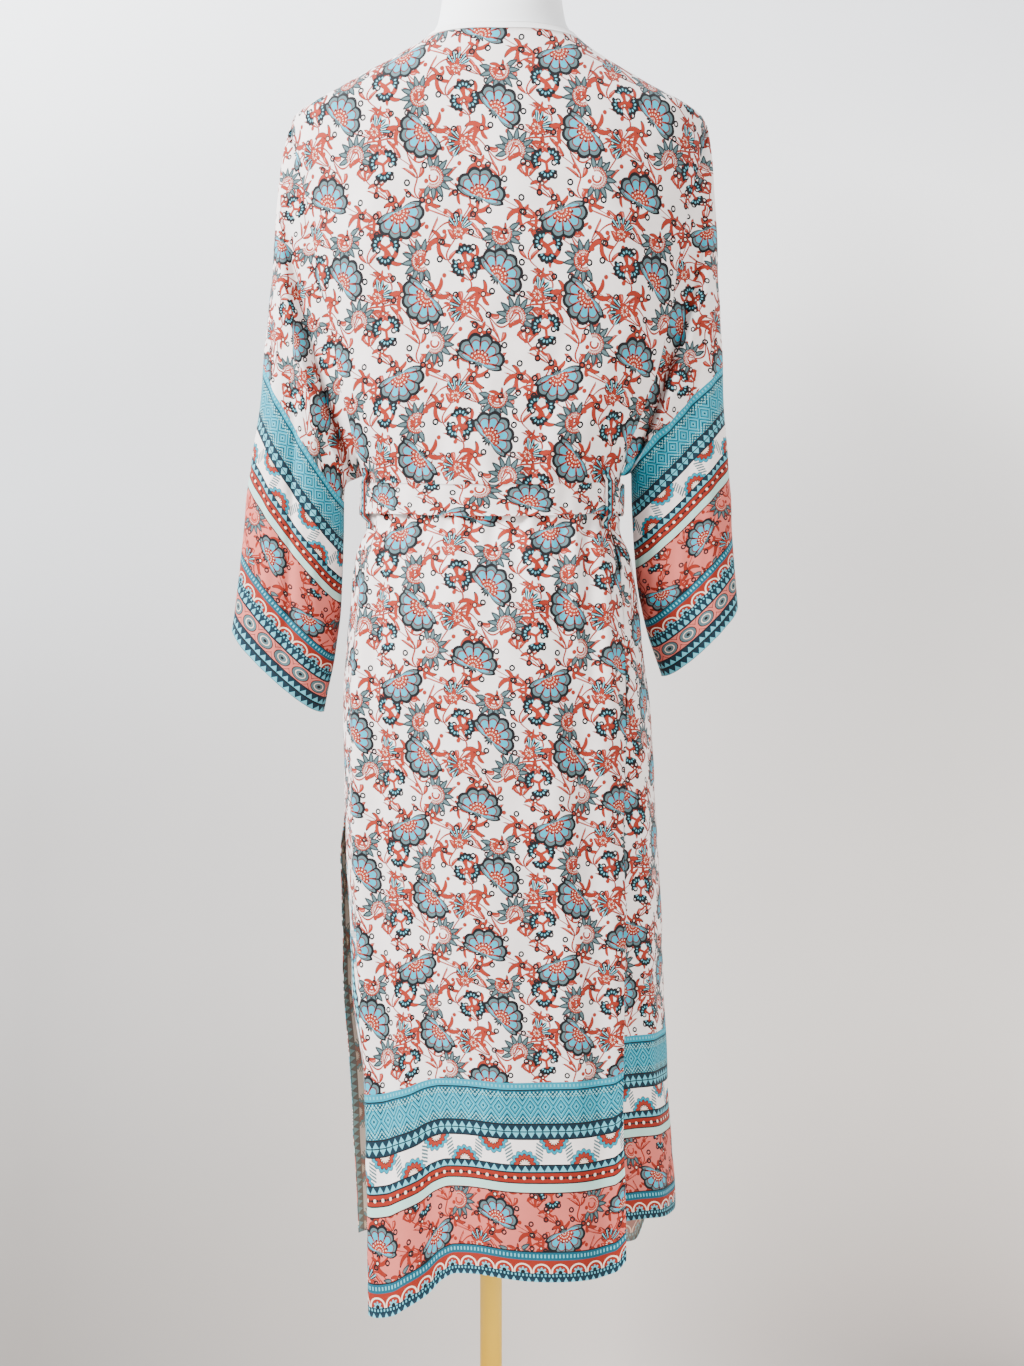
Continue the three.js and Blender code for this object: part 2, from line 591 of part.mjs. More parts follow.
// A solid through level rings from the bottom up, closed with a fan at each end.
function closedLoft(rings) {
  const count = rings[0].length;
  const positions = rings.flat().flatMap((p) => p.toArray());
  const faces = [];
  for (let i = 0; i < rings.length - 1; i++) {
    for (let j = 0; j < count; j++) {
      const k = (j + 1) % count;
      const [a, b, c, d] = [i * count + j, i * count + k, (i + 1) * count + k, (i + 1) * count + j];
      faces.push(a, c, b, a, d, c);
    }
  }
  for (const [level, up] of [[0, false], [rings.length - 1, true]]) {
    const centre = rings[level].reduce((sum, p) => sum.add(p), new THREE.Vector3()).divideScalar(count);
    positions.push(...centre.toArray());
    const tip = positions.length / 3 - 1;
    for (let j = 0; j < count; j++) {
      const [a, b] = [level * count + j, level * count + ((j + 1) % count)];
      faces.push(...(up ? [tip, b, a] : [tip, a, b]));
    }
  }
  const geometry = new THREE.BufferGeometry();
  geometry.setAttribute("position", new THREE.Float32BufferAttribute(positions, 3));
  geometry.setIndex(faces);
  return geometry;
}

function cylinder(radius, low, high, sides = 32) {
  return new THREE.CylinderGeometry(radius, radius, high - low, sides)
    .rotateX(Math.PI / 2)
    .translate(0, 0, (low + high) / 2);
}

const PRINTED_CLOTH = { color: "#e9e2df", roughness: 0.8, metalness: 0 };
const WHITE_CLOTH = { color: "#f4f3f1", roughness: 0.8, metalness: 0 };
const FORM_COVER = { color: "#f4f3f1", roughness: 0.7, metalness: 0 };
const POLE_PAINT = { color: "#d9c06c", roughness: 0.5, metalness: 0 };

const kimono = new THREE.Group();
function add(name, geometry, finish) {
  const mesh = new THREE.Mesh(geometry, new THREE.MeshStandardMaterial(finish));
  mesh.name = name;
  kimono.add(mesh);
}

add("back_panel", backPanel(), PRINTED_CLOTH);
add("front_left", frontPanel("left"), PRINTED_CLOTH);
add("front_right", frontPanel("right"), PRINTED_CLOTH);
add("sleeve_left", sleeve(LEFT_SLEEVE, -1), PRINTED_CLOTH);
add("sleeve_right", sleeve(RIGHT_SLEEVE, 1), PRINTED_CLOTH);
add("neckband", neckband(), WHITE_CLOTH);
add("belt", belt(), PRINTED_CLOTH);
add("belt_knot", knot(), PRINTED_CLOTH);
add("belt_tail_left", beltTail(254, 266, 640), PRINTED_CLOTH);
add("belt_tail_right", beltTail(268, 280, 700), PRINTED_CLOTH);
add("belt_loop_left", beltLoop(159, 165), PRINTED_CLOTH);
add("belt_loop_right", beltLoop(28, 34), PRINTED_CLOTH);
add("form_torso", dressForm(), FORM_COVER);
add("form_collar", cylinder(COLLAR_RADIUS, FORM_BOTTOM - COLLAR_HEIGHT, FORM_BOTTOM - 0.3), POLE_PAINT);
add("form_pole", cylinder(POLE_RADIUS, FOOT_HEIGHT + 0.3, FORM_BOTTOM - COLLAR_HEIGHT - 0.3), POLE_PAINT);
add("form_foot", cylinder(FOOT_RADIUS, 0, FOOT_HEIGHT, 48), POLE_PAINT);

export default kimono;
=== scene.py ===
import math

import bpy
import numpy as np
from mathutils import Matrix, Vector


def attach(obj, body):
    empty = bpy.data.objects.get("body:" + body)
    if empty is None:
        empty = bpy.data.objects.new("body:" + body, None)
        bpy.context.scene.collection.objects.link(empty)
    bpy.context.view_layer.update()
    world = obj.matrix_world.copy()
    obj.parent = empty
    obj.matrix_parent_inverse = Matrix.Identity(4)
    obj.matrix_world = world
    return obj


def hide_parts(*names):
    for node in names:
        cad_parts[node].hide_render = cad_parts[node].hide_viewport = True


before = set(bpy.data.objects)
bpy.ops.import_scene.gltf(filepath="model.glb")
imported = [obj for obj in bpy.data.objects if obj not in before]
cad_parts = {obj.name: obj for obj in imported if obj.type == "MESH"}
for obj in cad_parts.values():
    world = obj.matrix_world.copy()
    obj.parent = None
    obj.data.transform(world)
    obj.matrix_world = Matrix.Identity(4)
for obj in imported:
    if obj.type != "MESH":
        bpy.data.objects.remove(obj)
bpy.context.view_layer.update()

# A long kimono robe seen from the back, on a white dress form with a yellow pole. Lengths in the
# tables are millimetres in the part's own frame, and points become metres when a mesh is made.
# An angle round the body is 0 at the +X side, 90 at the middle of the back and 270 at the front;
# past 360 it has gone round once.

WALL = 0.8  # the cloth with its weave and turned edges
SHOULDER_TIP = 1375
UNDERARM = 1024
SLIT_TOP = 640
NECKBAND_WIDTH = 7
SEAM = 0.4
SEAM_ANGLE = 0.12
LAP = 5
BELT_CLEAR = 3.8
PRINT_GROWTH = 0.0003  # for each mm above the border
CUFF_BANDS = 39  # what the sleeves' border has below the bands that the hem has

BODY_RINGS = {
    "z": [1474, 1458, 1440, 1410, 1375, 1340, 1300, 1250, 1200, 1150, 1100, 1050, 1018, 974, 942,
          900, 850, 800, 700, 600, 500, 400, 300, 190],
    "left": [55, 64, 92, 147, 198, 198, 195, 189, 182, 172, 161, 139, 126, 124, 137,
             144, 149, 153, 153, 150, 147, 143, 141, 140],
    "right": [77, 87, 110, 160, 214, 214, 211, 207, 201, 189, 173, 142, 128, 127, 138,
              145, 151, 157, 164, 169, 172, 177, 184, 188],
    "back": [64, 69, 76, 86, 94, 100, 103, 103, 99, 93, 88, 84, 81, 82, 98,
             112, 119, 121, 120, 118, 116, 115, 115, 116],
    "front": [56, 62, 69, 80, 90, 99, 110, 122, 128, 122, 109, 97, 92, 92, 100,
              107, 111, 113, 114, 114, 114, 114, 114, 114],
    "power": [2, 2, 2, 2, 2] + [2.1] * 9 + [2.2] * 10,
}
SIDE_EDGES = {
    "z": [1474, 1376, 1340, 1300, 1200, 1100, 1050, 1024, 985, 940, 900, 800, 700, 640, 590, 500, 380,
          190],
    "back_right": [0, 0, 14, 22, 28, 27, 16, 4, 20, 27, 30, 36, 41, 43, 44, 47, 50, 52],
    "back_left": [180, 180, 166, 160, 155, 154, 163, 179, 180, 182, 183, 184, 184, 183, 181, 177, 170, 163],
    "front_left": [180, 180, 194, 200, 205, 206, 197, 179, 180, 182, 183, 184, 184, 183, 185, 191, 201, 207],
    "front_right": [360, 360, 346, 338, 332, 333, 345, 364, 380, 387, 390, 396, 401, 403, 404, 411, 415, 417],
}
FRONT_EDGES = {
    "z": [1474, 1458, 1440, 1410, 1375, 1300, 1200, 1100, 1018, 900, 500, 190],
    "left": [190, 192, 203, 219, 233, 256, 280, 303, 320, 324, 326, 328],
    "right": [350, 348, 337, 321, 307, 284, 260, 238, 222, 221, 226, 229],
}
BACK_HEM = {
    "angle": [50, 56, 65, 86, 100, 108, 114, 120, 127, 133, 141, 150, 166],
    "z": [270, 256, 252, 254, 259, 257, 249, 234, 222, 213, 209, 212, 220],
}
LEFT_FRONT_HEM = {"angle": [205, 225, 270, 305, 318, 329], "z": [250, 246, 240, 232, 238, 276]}
RIGHT_FRONT_HEM = {
    "angle": [228, 240, 270, 300, 330, 350, 375, 420],
    "z": [252, 246, 254, 268, 286, 305, 299, 304],
}
# Folds: angle, width in degrees, depth out from the body, and the heights where each one starts
# and is fully grown
BACK_FOLDS = [
    (146, 7, 6, 985, 860), (134, 6, -4, 990, 900), (134, 10, 9, 470, 230), (113, 12, -11, 560, 230),
    (84, 13, 5, 600, 260), (60, 7, -5, 980, 820), (50, 6, 3, 980, 850), (30, 8, 4, 960, 760),
]
FRONT_FOLDS = [
    (214, 8, 8, 980, 640), (230, 8, -7, 980, 560), (246, 9, 7, 975, 520), (266, 9, -8, 975, 500),
    (286, 10, 8, 980, 560), (305, 8, -7, 980, 640), (338, 9, 5, 900, 420),
]
TUCK_ANGLE = 142
TUCK_WIDTH = 9
TUCK_DEPTH = {"z": [1020, 900, 640, 520, 440, 370, 190], "depth": [0, 5, 8, 10, 17, 28, 33]}
SLEEVE_COLUMNS = ["outer_x", "outer_z", "inner_x", "inner_z", "bulge", "middle_y"]
LEFT_SLEEVE = [
    (-199, 1375, -129, 1024, 42, 0), (-207, 1328, -134, 1022, 44, 1), (-213, 1262, -139, 1020, 45, 2),
    (-220, 1188, -143, 1018, 43, 4), (-228, 1112, -146, 1012, 40, 5), (-241, 1020, -148, 942, 38, 6),
    (-250, 945, -153, 866, 36, 6), (-259, 872, -168, 790, 34, 6),
]
RIGHT_SLEEVE = [
    (215, 1375, 130, 1024, 42, 0), (219, 1328, 136, 1026, 44, 4), (224, 1262, 138, 1030, 45, 9),
    (228, 1190, 139, 1034, 43, 14), (232, 1120, 140, 1034, 40, 18), (238, 1040, 143, 968, 38, 22),
    (243, 965, 151, 894, 36, 22), (249, 896, 172, 826, 34, 20),
]
NECK_X = 11
NECK_RINGS = [  # height, middle's y, radius
    (1472, -2, 64.5), (1480, -0.5, 62.8), (1488, 1, 61.5), (1499, 2.5, 60), (1510, 4, 59), (1521, 5.5, 59),
    (1532, 7, 59.3), (1538, 7, 57.5), (1542, 7, 52), (1545, 7, 42), (1546.5, 7, 20), (1547, 7, 2),
]
SLEEVE_BOW = 15
CUFF_SAG = 12

# Listed creases: start (distance across, height), end, width and depth, all in mm. Across is
# measured on the cloth from the middle of the back, towards +X.
BACK_CREASES = [
    ((-150, 1180), (-60, 1060), 16, 2.2), ((-140, 1120), (-50, 1025), 13, 1.8),
    ((150, 1200), (70, 1080), 17, 2.0), ((140, 1130), (60, 1030), 12, 1.8),
    ((-95, 1330), (-130, 1180), 20, 1.8), ((110, 1330), (150, 1190), 20, 1.8),
    ((-20, 1400), (-24, 1250), 24, 1.2), ((40, 1390), (34, 1230), 22, -1.2),
    ((-60, 1150), (-45, 1020), 11, -1.6), ((10, 1110), (6, 1018), 12, 1.4),
    ((60, 1120), (48, 1020), 10, -1.5), ((95, 1100), (84, 1016), 9, 1.6), ((-100, 1100), (-88, 1016), 9, 1.8),
    ((-112, 980), (-124, 760), 8, 3.2), ((-96, 980), (-104, 800), 7, -2.4), ((-78, 980), (-84, 820), 9, 2.4),
    ((-40, 978), (-44, 850), 10, 1.8), ((0, 976), (2, 820), 13, -1.5), ((36, 976), (42, 840), 10, 1.7),
    ((74, 978), (84, 800), 10, 2.0), ((98, 980), (112, 780), 8, 2.4),
    ((-60, 760), (-72, 420), 22, 2.2), ((10, 760), (4, 330), 26, 2.2), ((76, 780), (84, 360), 24, -2.0),
]


def track(at, values):
    """A smooth function through the values, without overshoot."""
    order = np.argsort(at)
    at = np.asarray(at, float)[order]
    values = np.asarray(values, float)[order]
    step = np.diff(values) / np.diff(at)
    slope = np.zeros_like(values)
    for i in range(1, len(at) - 1):
        if step[i - 1] * step[i] > 0:
            slope[i] = 2 * step[i - 1] * step[i] / (step[i - 1] + step[i])

    def value(x):
        x = np.clip(x, at[0], at[-1])
        i = np.clip(np.searchsorted(at, x, side="right") - 1, 0, len(at) - 2)
        span = at[i + 1] - at[i]
        t = (x - at[i]) / span
        rise = t * t * (3 - 2 * t)
        bend = span * (slope[i] * t * (1 - t) ** 2 - slope[i + 1] * t * t * (1 - t))
        return values[i] + (values[i + 1] - values[i]) * rise + bend

    return value


def ease(x, start, end):
    """0 before start, 1 after end and smooth between, whichever of the two is larger."""
    t = np.clip((x - start) / (end - start), 0, 1)
    return t * t * (3 - 2 * t)


def mix(a, b, t):
    return a + (b - a) * t


def tracks(table):
    """A smooth function of the height for each other column of a table."""
    return {name: track(table["z"], values) for name, values in table.items() if name != "z"}


ring = tracks(BODY_RINGS)
side = tracks(SIDE_EDGES)
front_edge = tracks(FRONT_EDGES)
tuck_depth = track(TUCK_DEPTH["z"], TUCK_DEPTH["depth"])


def sewn(z):
    return (z <= UNDERARM) & (z >= SLIT_TOP)


def front_left_side(z):
    return np.where(sewn(z), side["back_left"](z), side["front_left"](z))


def front_right_side(z):
    return np.where(sewn(z), side["back_right"](z) + 360, side["front_right"](z))


def body_point(angle, z, out=0.0, inset_side=0.0, inset_depth=0.0):
    """Points on the body's rings, moved out from them, as an array with the last axis x, y, z."""
    angle, z, out = np.broadcast_arrays(angle, z, out)
    c = np.cos(np.radians(angle))
    s = np.sin(np.radians(angle))
    middle = (ring["right"](z) - ring["left"](z)) / 2
    half = (ring["right"](z) + ring["left"](z)) / 2 - inset_side
    depth = np.where(s > 0, ring["back"](z), ring["front"](z)) - inset_depth
    bend = 2 / ring["power"](z)
    x = half * np.sign(c) * np.abs(c) ** bend
    y = -depth * np.sign(s) * np.abs(s) ** bend
    nx = x / half**2
    ny = y / depth**2
    size = np.hypot(nx, ny)
    return np.stack([middle + x + nx / size * out, y + ny / size * out, z], axis=-1)


def folds(rows, angle, z):
    total = 0.0
    for centre, width, depth, top, full in rows:
        total = total + depth * (1 - ease(z, full, top)) * np.exp(-(((angle - centre) / width) ** 2))
    return total


def crease(rows, across, z):
    """Soft ridges and valleys along straight lines on the cloth."""
    total = 0.0
    for (x0, z0), (x1, z1), width, depth in rows:
        dx, dz = x1 - x0, z1 - z0
        t = ((across - x0) * dx + (z - z0) * dz) / (dx * dx + dz * dz)
        inside = ease(t, -0.25, 0.3) * (1 - ease(t, 0.7, 1.25))
        away = np.hypot(across - x0 - t * dx, z - z0 - t * dz)
        total = total + depth * inside * np.exp(-((away / width) ** 2))
    return total


def ripple(across, z):
    """The faint unevenness of thin cloth that has been washed."""
    return (
        0.55 * np.sin(across / 17 + 1.4 * np.sin(z / 61))
        + 0.4 * np.sin(z / 23 + 1.7 * np.sin(across / 37))
        + 0.3 * np.sin((across + z) / 11 + np.sin(z / 29))
    )


def back_out(angle, z):
    turned = ease(angle, TUCK_ANGLE, TUCK_ANGLE + TUCK_WIDTH * 2)
    over_front = 2.5 * (1 - ease(z, SLIT_TOP - 45, SLIT_TOP)) * (1 - ease(angle, 60, 80))
    return folds(BACK_FOLDS, angle, z) - tuck_depth(z) * turned + over_front


def left_front_out(angle, z):
    opened = 1 - ease(z, 300, 640)
    near_edge = 1 - ease(angle, front_left_side(z), front_left_side(z) + 21)
    joined = ease(z, SLIT_TOP, SLIT_TOP + 60) * (1 - ease(angle, 182, 196))
    joined_out = folds(BACK_FOLDS, side["back_left"](z), z) - tuck_depth(z)
    return (
        folds(FRONT_FOLDS, angle, z) * ease(angle, 196, 216)
        + 13 * opened * near_edge
        + joined * joined_out
    )


def right_front_out(angle, z):
    covering = 1 - ease(angle, 325, 350)
    under = 1 - ease(z, SLIT_TOP - 45, SLIT_TOP)
    behind = ease(angle, side["back_right"](z) + 340, side["back_right"](z) + 362)
    return (
        folds(FRONT_FOLDS, angle, z) * (1 - ease(angle, 345, 365))
        + folds(BACK_FOLDS, angle - 360, z) * ease(angle, 365, 385)
        + LAP * covering
        - 2.5 * under * behind
    )


def neck_height(angle):
    return 1455 + 4 * np.abs(np.cos(np.radians(angle)))


def normals(grid, closed=False):
    if closed:
        across = np.roll(grid, -1, axis=1) - np.roll(grid, 1, axis=1)
    else:
        across = np.gradient(grid, axis=1)
    n = np.cross(np.gradient(grid, axis=0), across)
    return n / np.maximum(np.linalg.norm(n, axis=2, keepdims=True), 1e-9)


def shell(name, node, grid, uv, wall=WALL, closed=False, strip=None, materials=("cloth", "cloth_inside")):
    """A piece of cloth as a closed thin shell round a grid of points, in mm. uv holds a place on the
    flat cloth for each point, in mm; strip is a second set of places and the mask of the squares
    that take them. The outside has the first material and the inside the second."""
    rows, columns = grid.shape[:2]
    n = normals(grid, closed)
    points = np.concatenate([(grid + n * wall / 2).reshape(-1, 3), (grid - n * wall / 2).reshape(-1, 3)])
    layer = rows * columns
    spans = columns if closed else columns - 1
    i, j = np.meshgrid(np.arange(rows - 1), np.arange(spans), indexing="ij")
    k = (j + 1) % columns
    corner = np.stack([i * columns + j, (i + 1) * columns + j, (i + 1) * columns + k, i * columns + k], -1)
    corner = corner.reshape(-1, 4)
    column_of = np.stack([j, j, j + 1, j + 1], -1).reshape(-1, 4)
    row_of = np.stack([i, i + 1, i + 1, i], -1).reshape(-1, 4)
    places = uv[row_of, column_of]
    if strip is not None:
        other, mask = strip
        chosen = mask[i, j].reshape(-1)
        places[chosen] = other[row_of[chosen], column_of[chosen]]
    flip = [0, 3, 2, 1]
    faces = [corner, corner[:, flip] + layer]
    face_uv = [places, places[:, flip]]
    slots = [np.ones(len(corner), int), np.zeros(len(corner), int)]

    def rim(first, second, first_uv, second_uv):
        faces.append(np.stack([first, second, second + layer, first + layer], -1))
        face_uv.append(np.stack([first_uv, second_uv, second_uv, first_uv], 1))
        slots.append(np.zeros(len(first), int))

    js = np.arange(spans)
    ks = (js + 1) % columns
    rim(ks, js, uv[0, js + 1], uv[0, js])
    last = (rows - 1) * columns
    rim(last + js, last + ks, uv[-1, js], uv[-1, js + 1])
    if not closed:
        rs = np.arange(rows - 1)
        rim(rs * columns, (rs + 1) * columns, uv[rs, 0], uv[rs + 1, 0])
        end = columns - 1
        rim((rs + 1) * columns + end, rs * columns + end, uv[rs + 1, end], uv[rs, end])
    faces = np.concatenate(faces)
    face_uv = np.concatenate(face_uv)
    slots = np.concatenate(slots)

    mesh = bpy.data.meshes.new(name)
    mesh.from_pydata((points / 1000).tolist(), [], faces.tolist())
    mesh.uv_layers.new(name="flat_cloth").data.foreach_set("uv", (face_uv / 1000).ravel())
    mesh.polygons.foreach_set("material_index", slots)
    mesh.polygons.foreach_set("use_smooth", np.ones(len(faces), bool))
    mesh.update()
    obj = bpy.data.objects.new(name, mesh)
    bpy.context.scene.collection.objects.link(obj)
    for material in materials:
        mesh.materials.append(bpy.data.materials[material])
    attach(obj, "root")
    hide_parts(*([node] if isinstance(node, str) else node))
    return obj


# Colours

def linear(code):
    """A hex colour as linear red, green, blue and 1."""
    parts = [int(code[i : i + 2], 16) / 255 for i in (1, 3, 5)]
    return [p / 12.92 if p <= 0.04045 else ((p + 0.055) / 1.055) ** 2.4 for p in parts] + [1.0]


GROUND = linear("#f2e8e4")
CHARCOAL = linear("#0d0a0e")
CORAL = linear("#8f2817")
TURQUOISE = linear("#04889e")
PETAL_BLUE = linear("#0a9fb8")
GREY_BLUE = linear("#4c6468")
SLATE = linear("#222e31")
PALE_BLUE = linear("#5aadbc")
NAVY = linear("#04222f")
DEEP_TEAL = linear("#075062")
PINK = linear("#c9665b")
MINT = linear("#a6cdc2")
CREAM = linear("#ead0bd")
BRICK = linear("#86200f")


def join(socket, value):
    """Links a socket to another, or sets it to a plain value."""
    if isinstance(value, Number):
        value = value.socket
    if isinstance(value, bpy.types.NodeSocket):
        socket.id_data.links.new(value, socket)
    elif value is not None:
        socket.default_value = value


def add(tree, kind, *inputs, named=None, stops=None, **settings):
    """Adds a node, sets it up, joins its inputs in order or by name and returns it."""
    node = tree.nodes.new(kind)
    for name, value in settings.items():
        setattr(node, name, value)
    for socket, value in zip(node.inputs, inputs):
        join(socket, value)
    for name, value in (named or {}).items():
        join(node.inputs[name], value)
    if stops:
        band = node.color_ramp
        band.interpolation = "CONSTANT"
        while len(band.elements) < len(stops):
            band.elements.new(1.0)
        for element, (place, colour) in zip(band.elements, stops):
            element.position = place
            element.color = colour
    return node


class Number:
    """A number in the shader, so that its formulas can be written with the usual signs."""

    def __init__(self, socket):
        self.socket = socket

    def __add__(self, other):
        return calc("ADD", self, other)

    def __radd__(self, other):
        return calc("ADD", self, other)

    def __sub__(self, other):
        return calc("SUBTRACT", self, other)

    def __rsub__(self, other):
        return calc("MULTIPLY_ADD", self, -1.0, other)

    def __mul__(self, other):
        return calc("MULTIPLY", self, other)

    def __rmul__(self, other):
        return calc("MULTIPLY", self, other)

    def __truediv__(self, other):
        return calc("DIVIDE", self, other)

    def __lt__(self, other):
        return calc("LESS_THAN", self, other)

    def __gt__(self, other):
        return calc("GREATER_THAN", self, other)


def calc(operation, first, *others):
    tree = first.socket.id_data
    return Number(add(tree, "ShaderNodeMath", first, *others, operation=operation).outputs[0])


def paint(under, colour, mask):
    """colour over what is under it, where mask is 1."""
    tree = mask.socket.id_data
    node = add(tree, "ShaderNodeMix", mask, None, None, None, None, None, under, colour, data_type="RGBA")
    return node.outputs[2]


def bands(value, stops):
    """Flat bands of colour: each colour starts at its place on value."""
    tree = value.socket.id_data
    return add(tree, "ShaderNodeValToRGB", value, stops=stops).outputs[0]


def lattice(u, v, cell, offset, shift=(0.0, 0.0)):
    """The place in a cell of a repeating grid, from the middle of its motif, and whether its column
    and its row are odd. Motifs in even rows stand to the right by shift and in odd rows to the
    left, and those in even and odd columns up and down."""
    across = u + offset[0]
    up = v + offset[1]
    odd_column = calc("FLOOR", calc("FLOORED_MODULO", across, 2 * cell[0]) / cell[0])
    odd_row = calc("FLOOR", calc("FLOORED_MODULO", up, 2 * cell[1]) / cell[1])
    x = calc("FLOORED_MODULO", across, cell[0]) - cell[0] / 2 + (odd_row * 2 - 1) * shift[0]
    y = calc("FLOORED_MODULO", up, cell[1]) - cell[1] / 2 + (odd_column * 2 - 1) * shift[1]
    return x, y, odd_column, odd_row


def place(x, y, angle, shift=(0.0, 0.0)):
    """The same place turned by an angle and measured from a shifted middle: x, y, distance, and
    the direction from straight up."""
    tree = x.socket.id_data
    at = add(tree, "ShaderNodeCombineXYZ", x, y, 0.0).outputs[0]
    at = add(tree, "ShaderNodeVectorRotate", at, None, None, angle, rotation_type="Z_AXIS").outputs[0]
    at = add(tree, "ShaderNodeVectorMath", at, (shift[0], shift[1], 0.0), operation="SUBTRACT").outputs[0]
    far = Number(add(tree, "ShaderNodeVectorMath", at, operation="LENGTH").outputs["Value"])
    parts = add(tree, "ShaderNodeSeparateXYZ", at)
    px, py = Number(parts.outputs[0]), Number(parts.outputs[1])
    return px, py, far, calc("ARCTAN2", px, py)


def wave_of(angle, count):
    """How near a direction is to one of count evenly spaced lobes: 1 on it, 0 between two."""
    return calc("ABSOLUTE", calc("COSINE", angle * (count / 2)))


def fan(colour, x, y, angle, size):
    """A large half-round flower with scalloped petals round a coral heart."""
    _, _, far, turn = place(x, y, angle, (0.0, -6.5 * size))
    lobes = wave_of(turn, 11)
    spread = calc("MINIMUM", calc("MAXIMUM", calc("COSINE", turn) * 2.2 + 0.95, 0.0), 1.0)
    depth = far - spread * (16.5 * size) - lobes * (2.6 * size) - 3.2 * size
    petals = bands(
        depth / (24 * size) + 1,
        [(0.0, CORAL), (0.43, CHARCOAL), (0.465, CORAL), (0.49, PETAL_BLUE), (0.745, CORAL), (0.77, SLATE),
         (0.795, GREY_BLUE), (0.9, CHARCOAL)],
    )
    petals = paint(petals, CORAL, (lobes < 0.4) * (depth < -5.5 * size) * (far > 5 * size))
    petals = paint(petals, CHARCOAL, (lobes < 0.22) * (depth > -8 * size))
    bead = calc("ABSOLUTE", calc("FLOORED_MODULO", far, 3.0 * size) - 1.5 * size) < 0.6 * size
    petals = paint(petals, CREAM, bead * (wave_of(turn, 15) > 0.8) * (depth < -12.6 * size))
    return paint(colour, petals, depth < 0.3)


def cluster(colour, x, y, angle, size, shown):
    """Three little dark fans with pale ribs on coral stems."""
    _, _, far, turn = place(x, y, angle)
    part = calc("ROUND", turn / 2.0944)
    turned = turn - part * 2.0944
    sx = far * calc("SINE", turned)
    sy = far * calc("COSINE", turned) - 5.0 * size
    stem = (calc("ABSOLUTE", sx) < 1.3 * size) * (far < 7 * size)
    small = calc("SQRT", sx * sx + sy * sy)
    spread = calc("ARCTAN2", sx, sy)
    ribs = wave_of(spread, 11)
    edge = small - ribs * (1.3 * size)
    tone = bands(
        edge / (8 * size),
        [(0.0, CORAL), (0.16, CHARCOAL), (0.3, DEEP_TEAL), (0.36, PALE_BLUE), (0.56, DEEP_TEAL),
         (0.62, CHARCOAL)],
    )
    tone = paint(tone, CHARCOAL, (ribs < 0.72) * (small > 1.8 * size))
    shape = (edge < 7.6 * size) * (calc("ABSOLUTE", spread) < 1.35) * shown
    colour = paint(colour, CORAL, stem * shown)
    return paint(colour, tone, shape)


def rays(colour, x, y, angle, size):
    """A curled sprig: coral beads in an open ring with grey leaves standing out of it."""
    px, _, far, turn = place(x, y, angle)
    opened = calc("ABSOLUTE", turn) < 2.15
    leaf = wave_of(turn, 13)
    along = calc("MAXIMUM", (far - 8 * size) / (8.6 * size), 0.0)
    width = calc("SQRT", along) * 1.25 * calc("MAXIMUM", 1.0 - along, 0.0) + 0.02
    off_leaf = calc("ARCSINE", calc("SQRT", 1.0 - leaf * leaf * 0.9999)) / 6.5
    away = calc("ABSOLUTE", off_leaf) * far / (3.6 * size)
    colour = paint(colour, SLATE, (away < width + 0.2) * (far > 8 * size) * (far < 17.2 * size) * opened)
    colour = paint(colour, GREY_BLUE, (away < width - 0.16) * (far > 8.6 * size) * opened)
    beads = (calc("ABSOLUTE", far - 6.6 * size) < 1.7 * size) * opened * (wave_of(turn, 27) > 0.2)
    colour = paint(colour, CORAL, beads)
    hearts = (wave_of(turn, 27) > 0.85) * (calc("ABSOLUTE", far - 6.6 * size) < 0.6 * size)
    colour = paint(colour, CREAM, beads * hearts)
    curl = calc("ABSOLUTE", far - 3.4 * size) < 0.9 * size
    return paint(colour, CORAL, curl * (px > -1.6 * size))


def thistle(colour, x, y, angle, size, shown):
    """A coral cup with dark pointed petals above it."""
    px, py, far, turn = place(x, y, angle, (0.0, -4.0 * size))
    petal = wave_of(turn, 15)
    shape = (far < petal * (4.2 * size) + 9 * size) * (calc("ABSOLUTE", turn) < 1.15) * shown
    colour = paint(colour, CHARCOAL, shape * (petal > 0.25))
    colour = paint(colour, PALE_BLUE, shape * (petal > 0.93) * (far > 5 * size))
    cup = px * px / (5.4 * size) ** 2 + (py + 0.5) * (py + 0.5) / (4.2 * size) ** 2
    sepal = (far < wave_of(turn, 5) * 7.5 * size) * shown
    colour = paint(colour, CORAL, calc("MAXIMUM", (cup < 1) * shown, sepal))
    return paint(colour, CREAM, (cup < 0.5) * (wave_of(turn, 9) > 0.8) * (cup > 0.12) * shown)


def star_leaf(colour, x, y, angle, size, tone, shown):
    """A ragged coral leaf like a swallow, with a small ringed eye."""
    px, _, far, turn = place(x, y, angle)
    bent = turn + far * 0.06
    tips = wave_of(bent, 5)
    reach = tips * tips * tips * (8 + 3 * calc("COSINE", turn)) * size + 3 * size
    colour = paint(colour, CHARCOAL, (far < reach + 0.9 * size) * (px > 0) * shown)
    colour = paint(colour, tone, (far < reach) * shown)
    colour = paint(colour, CHARCOAL, (far < 2.2 * size) * shown)
    return paint(colour, CREAM, (far < 1.2 * size) * shown)


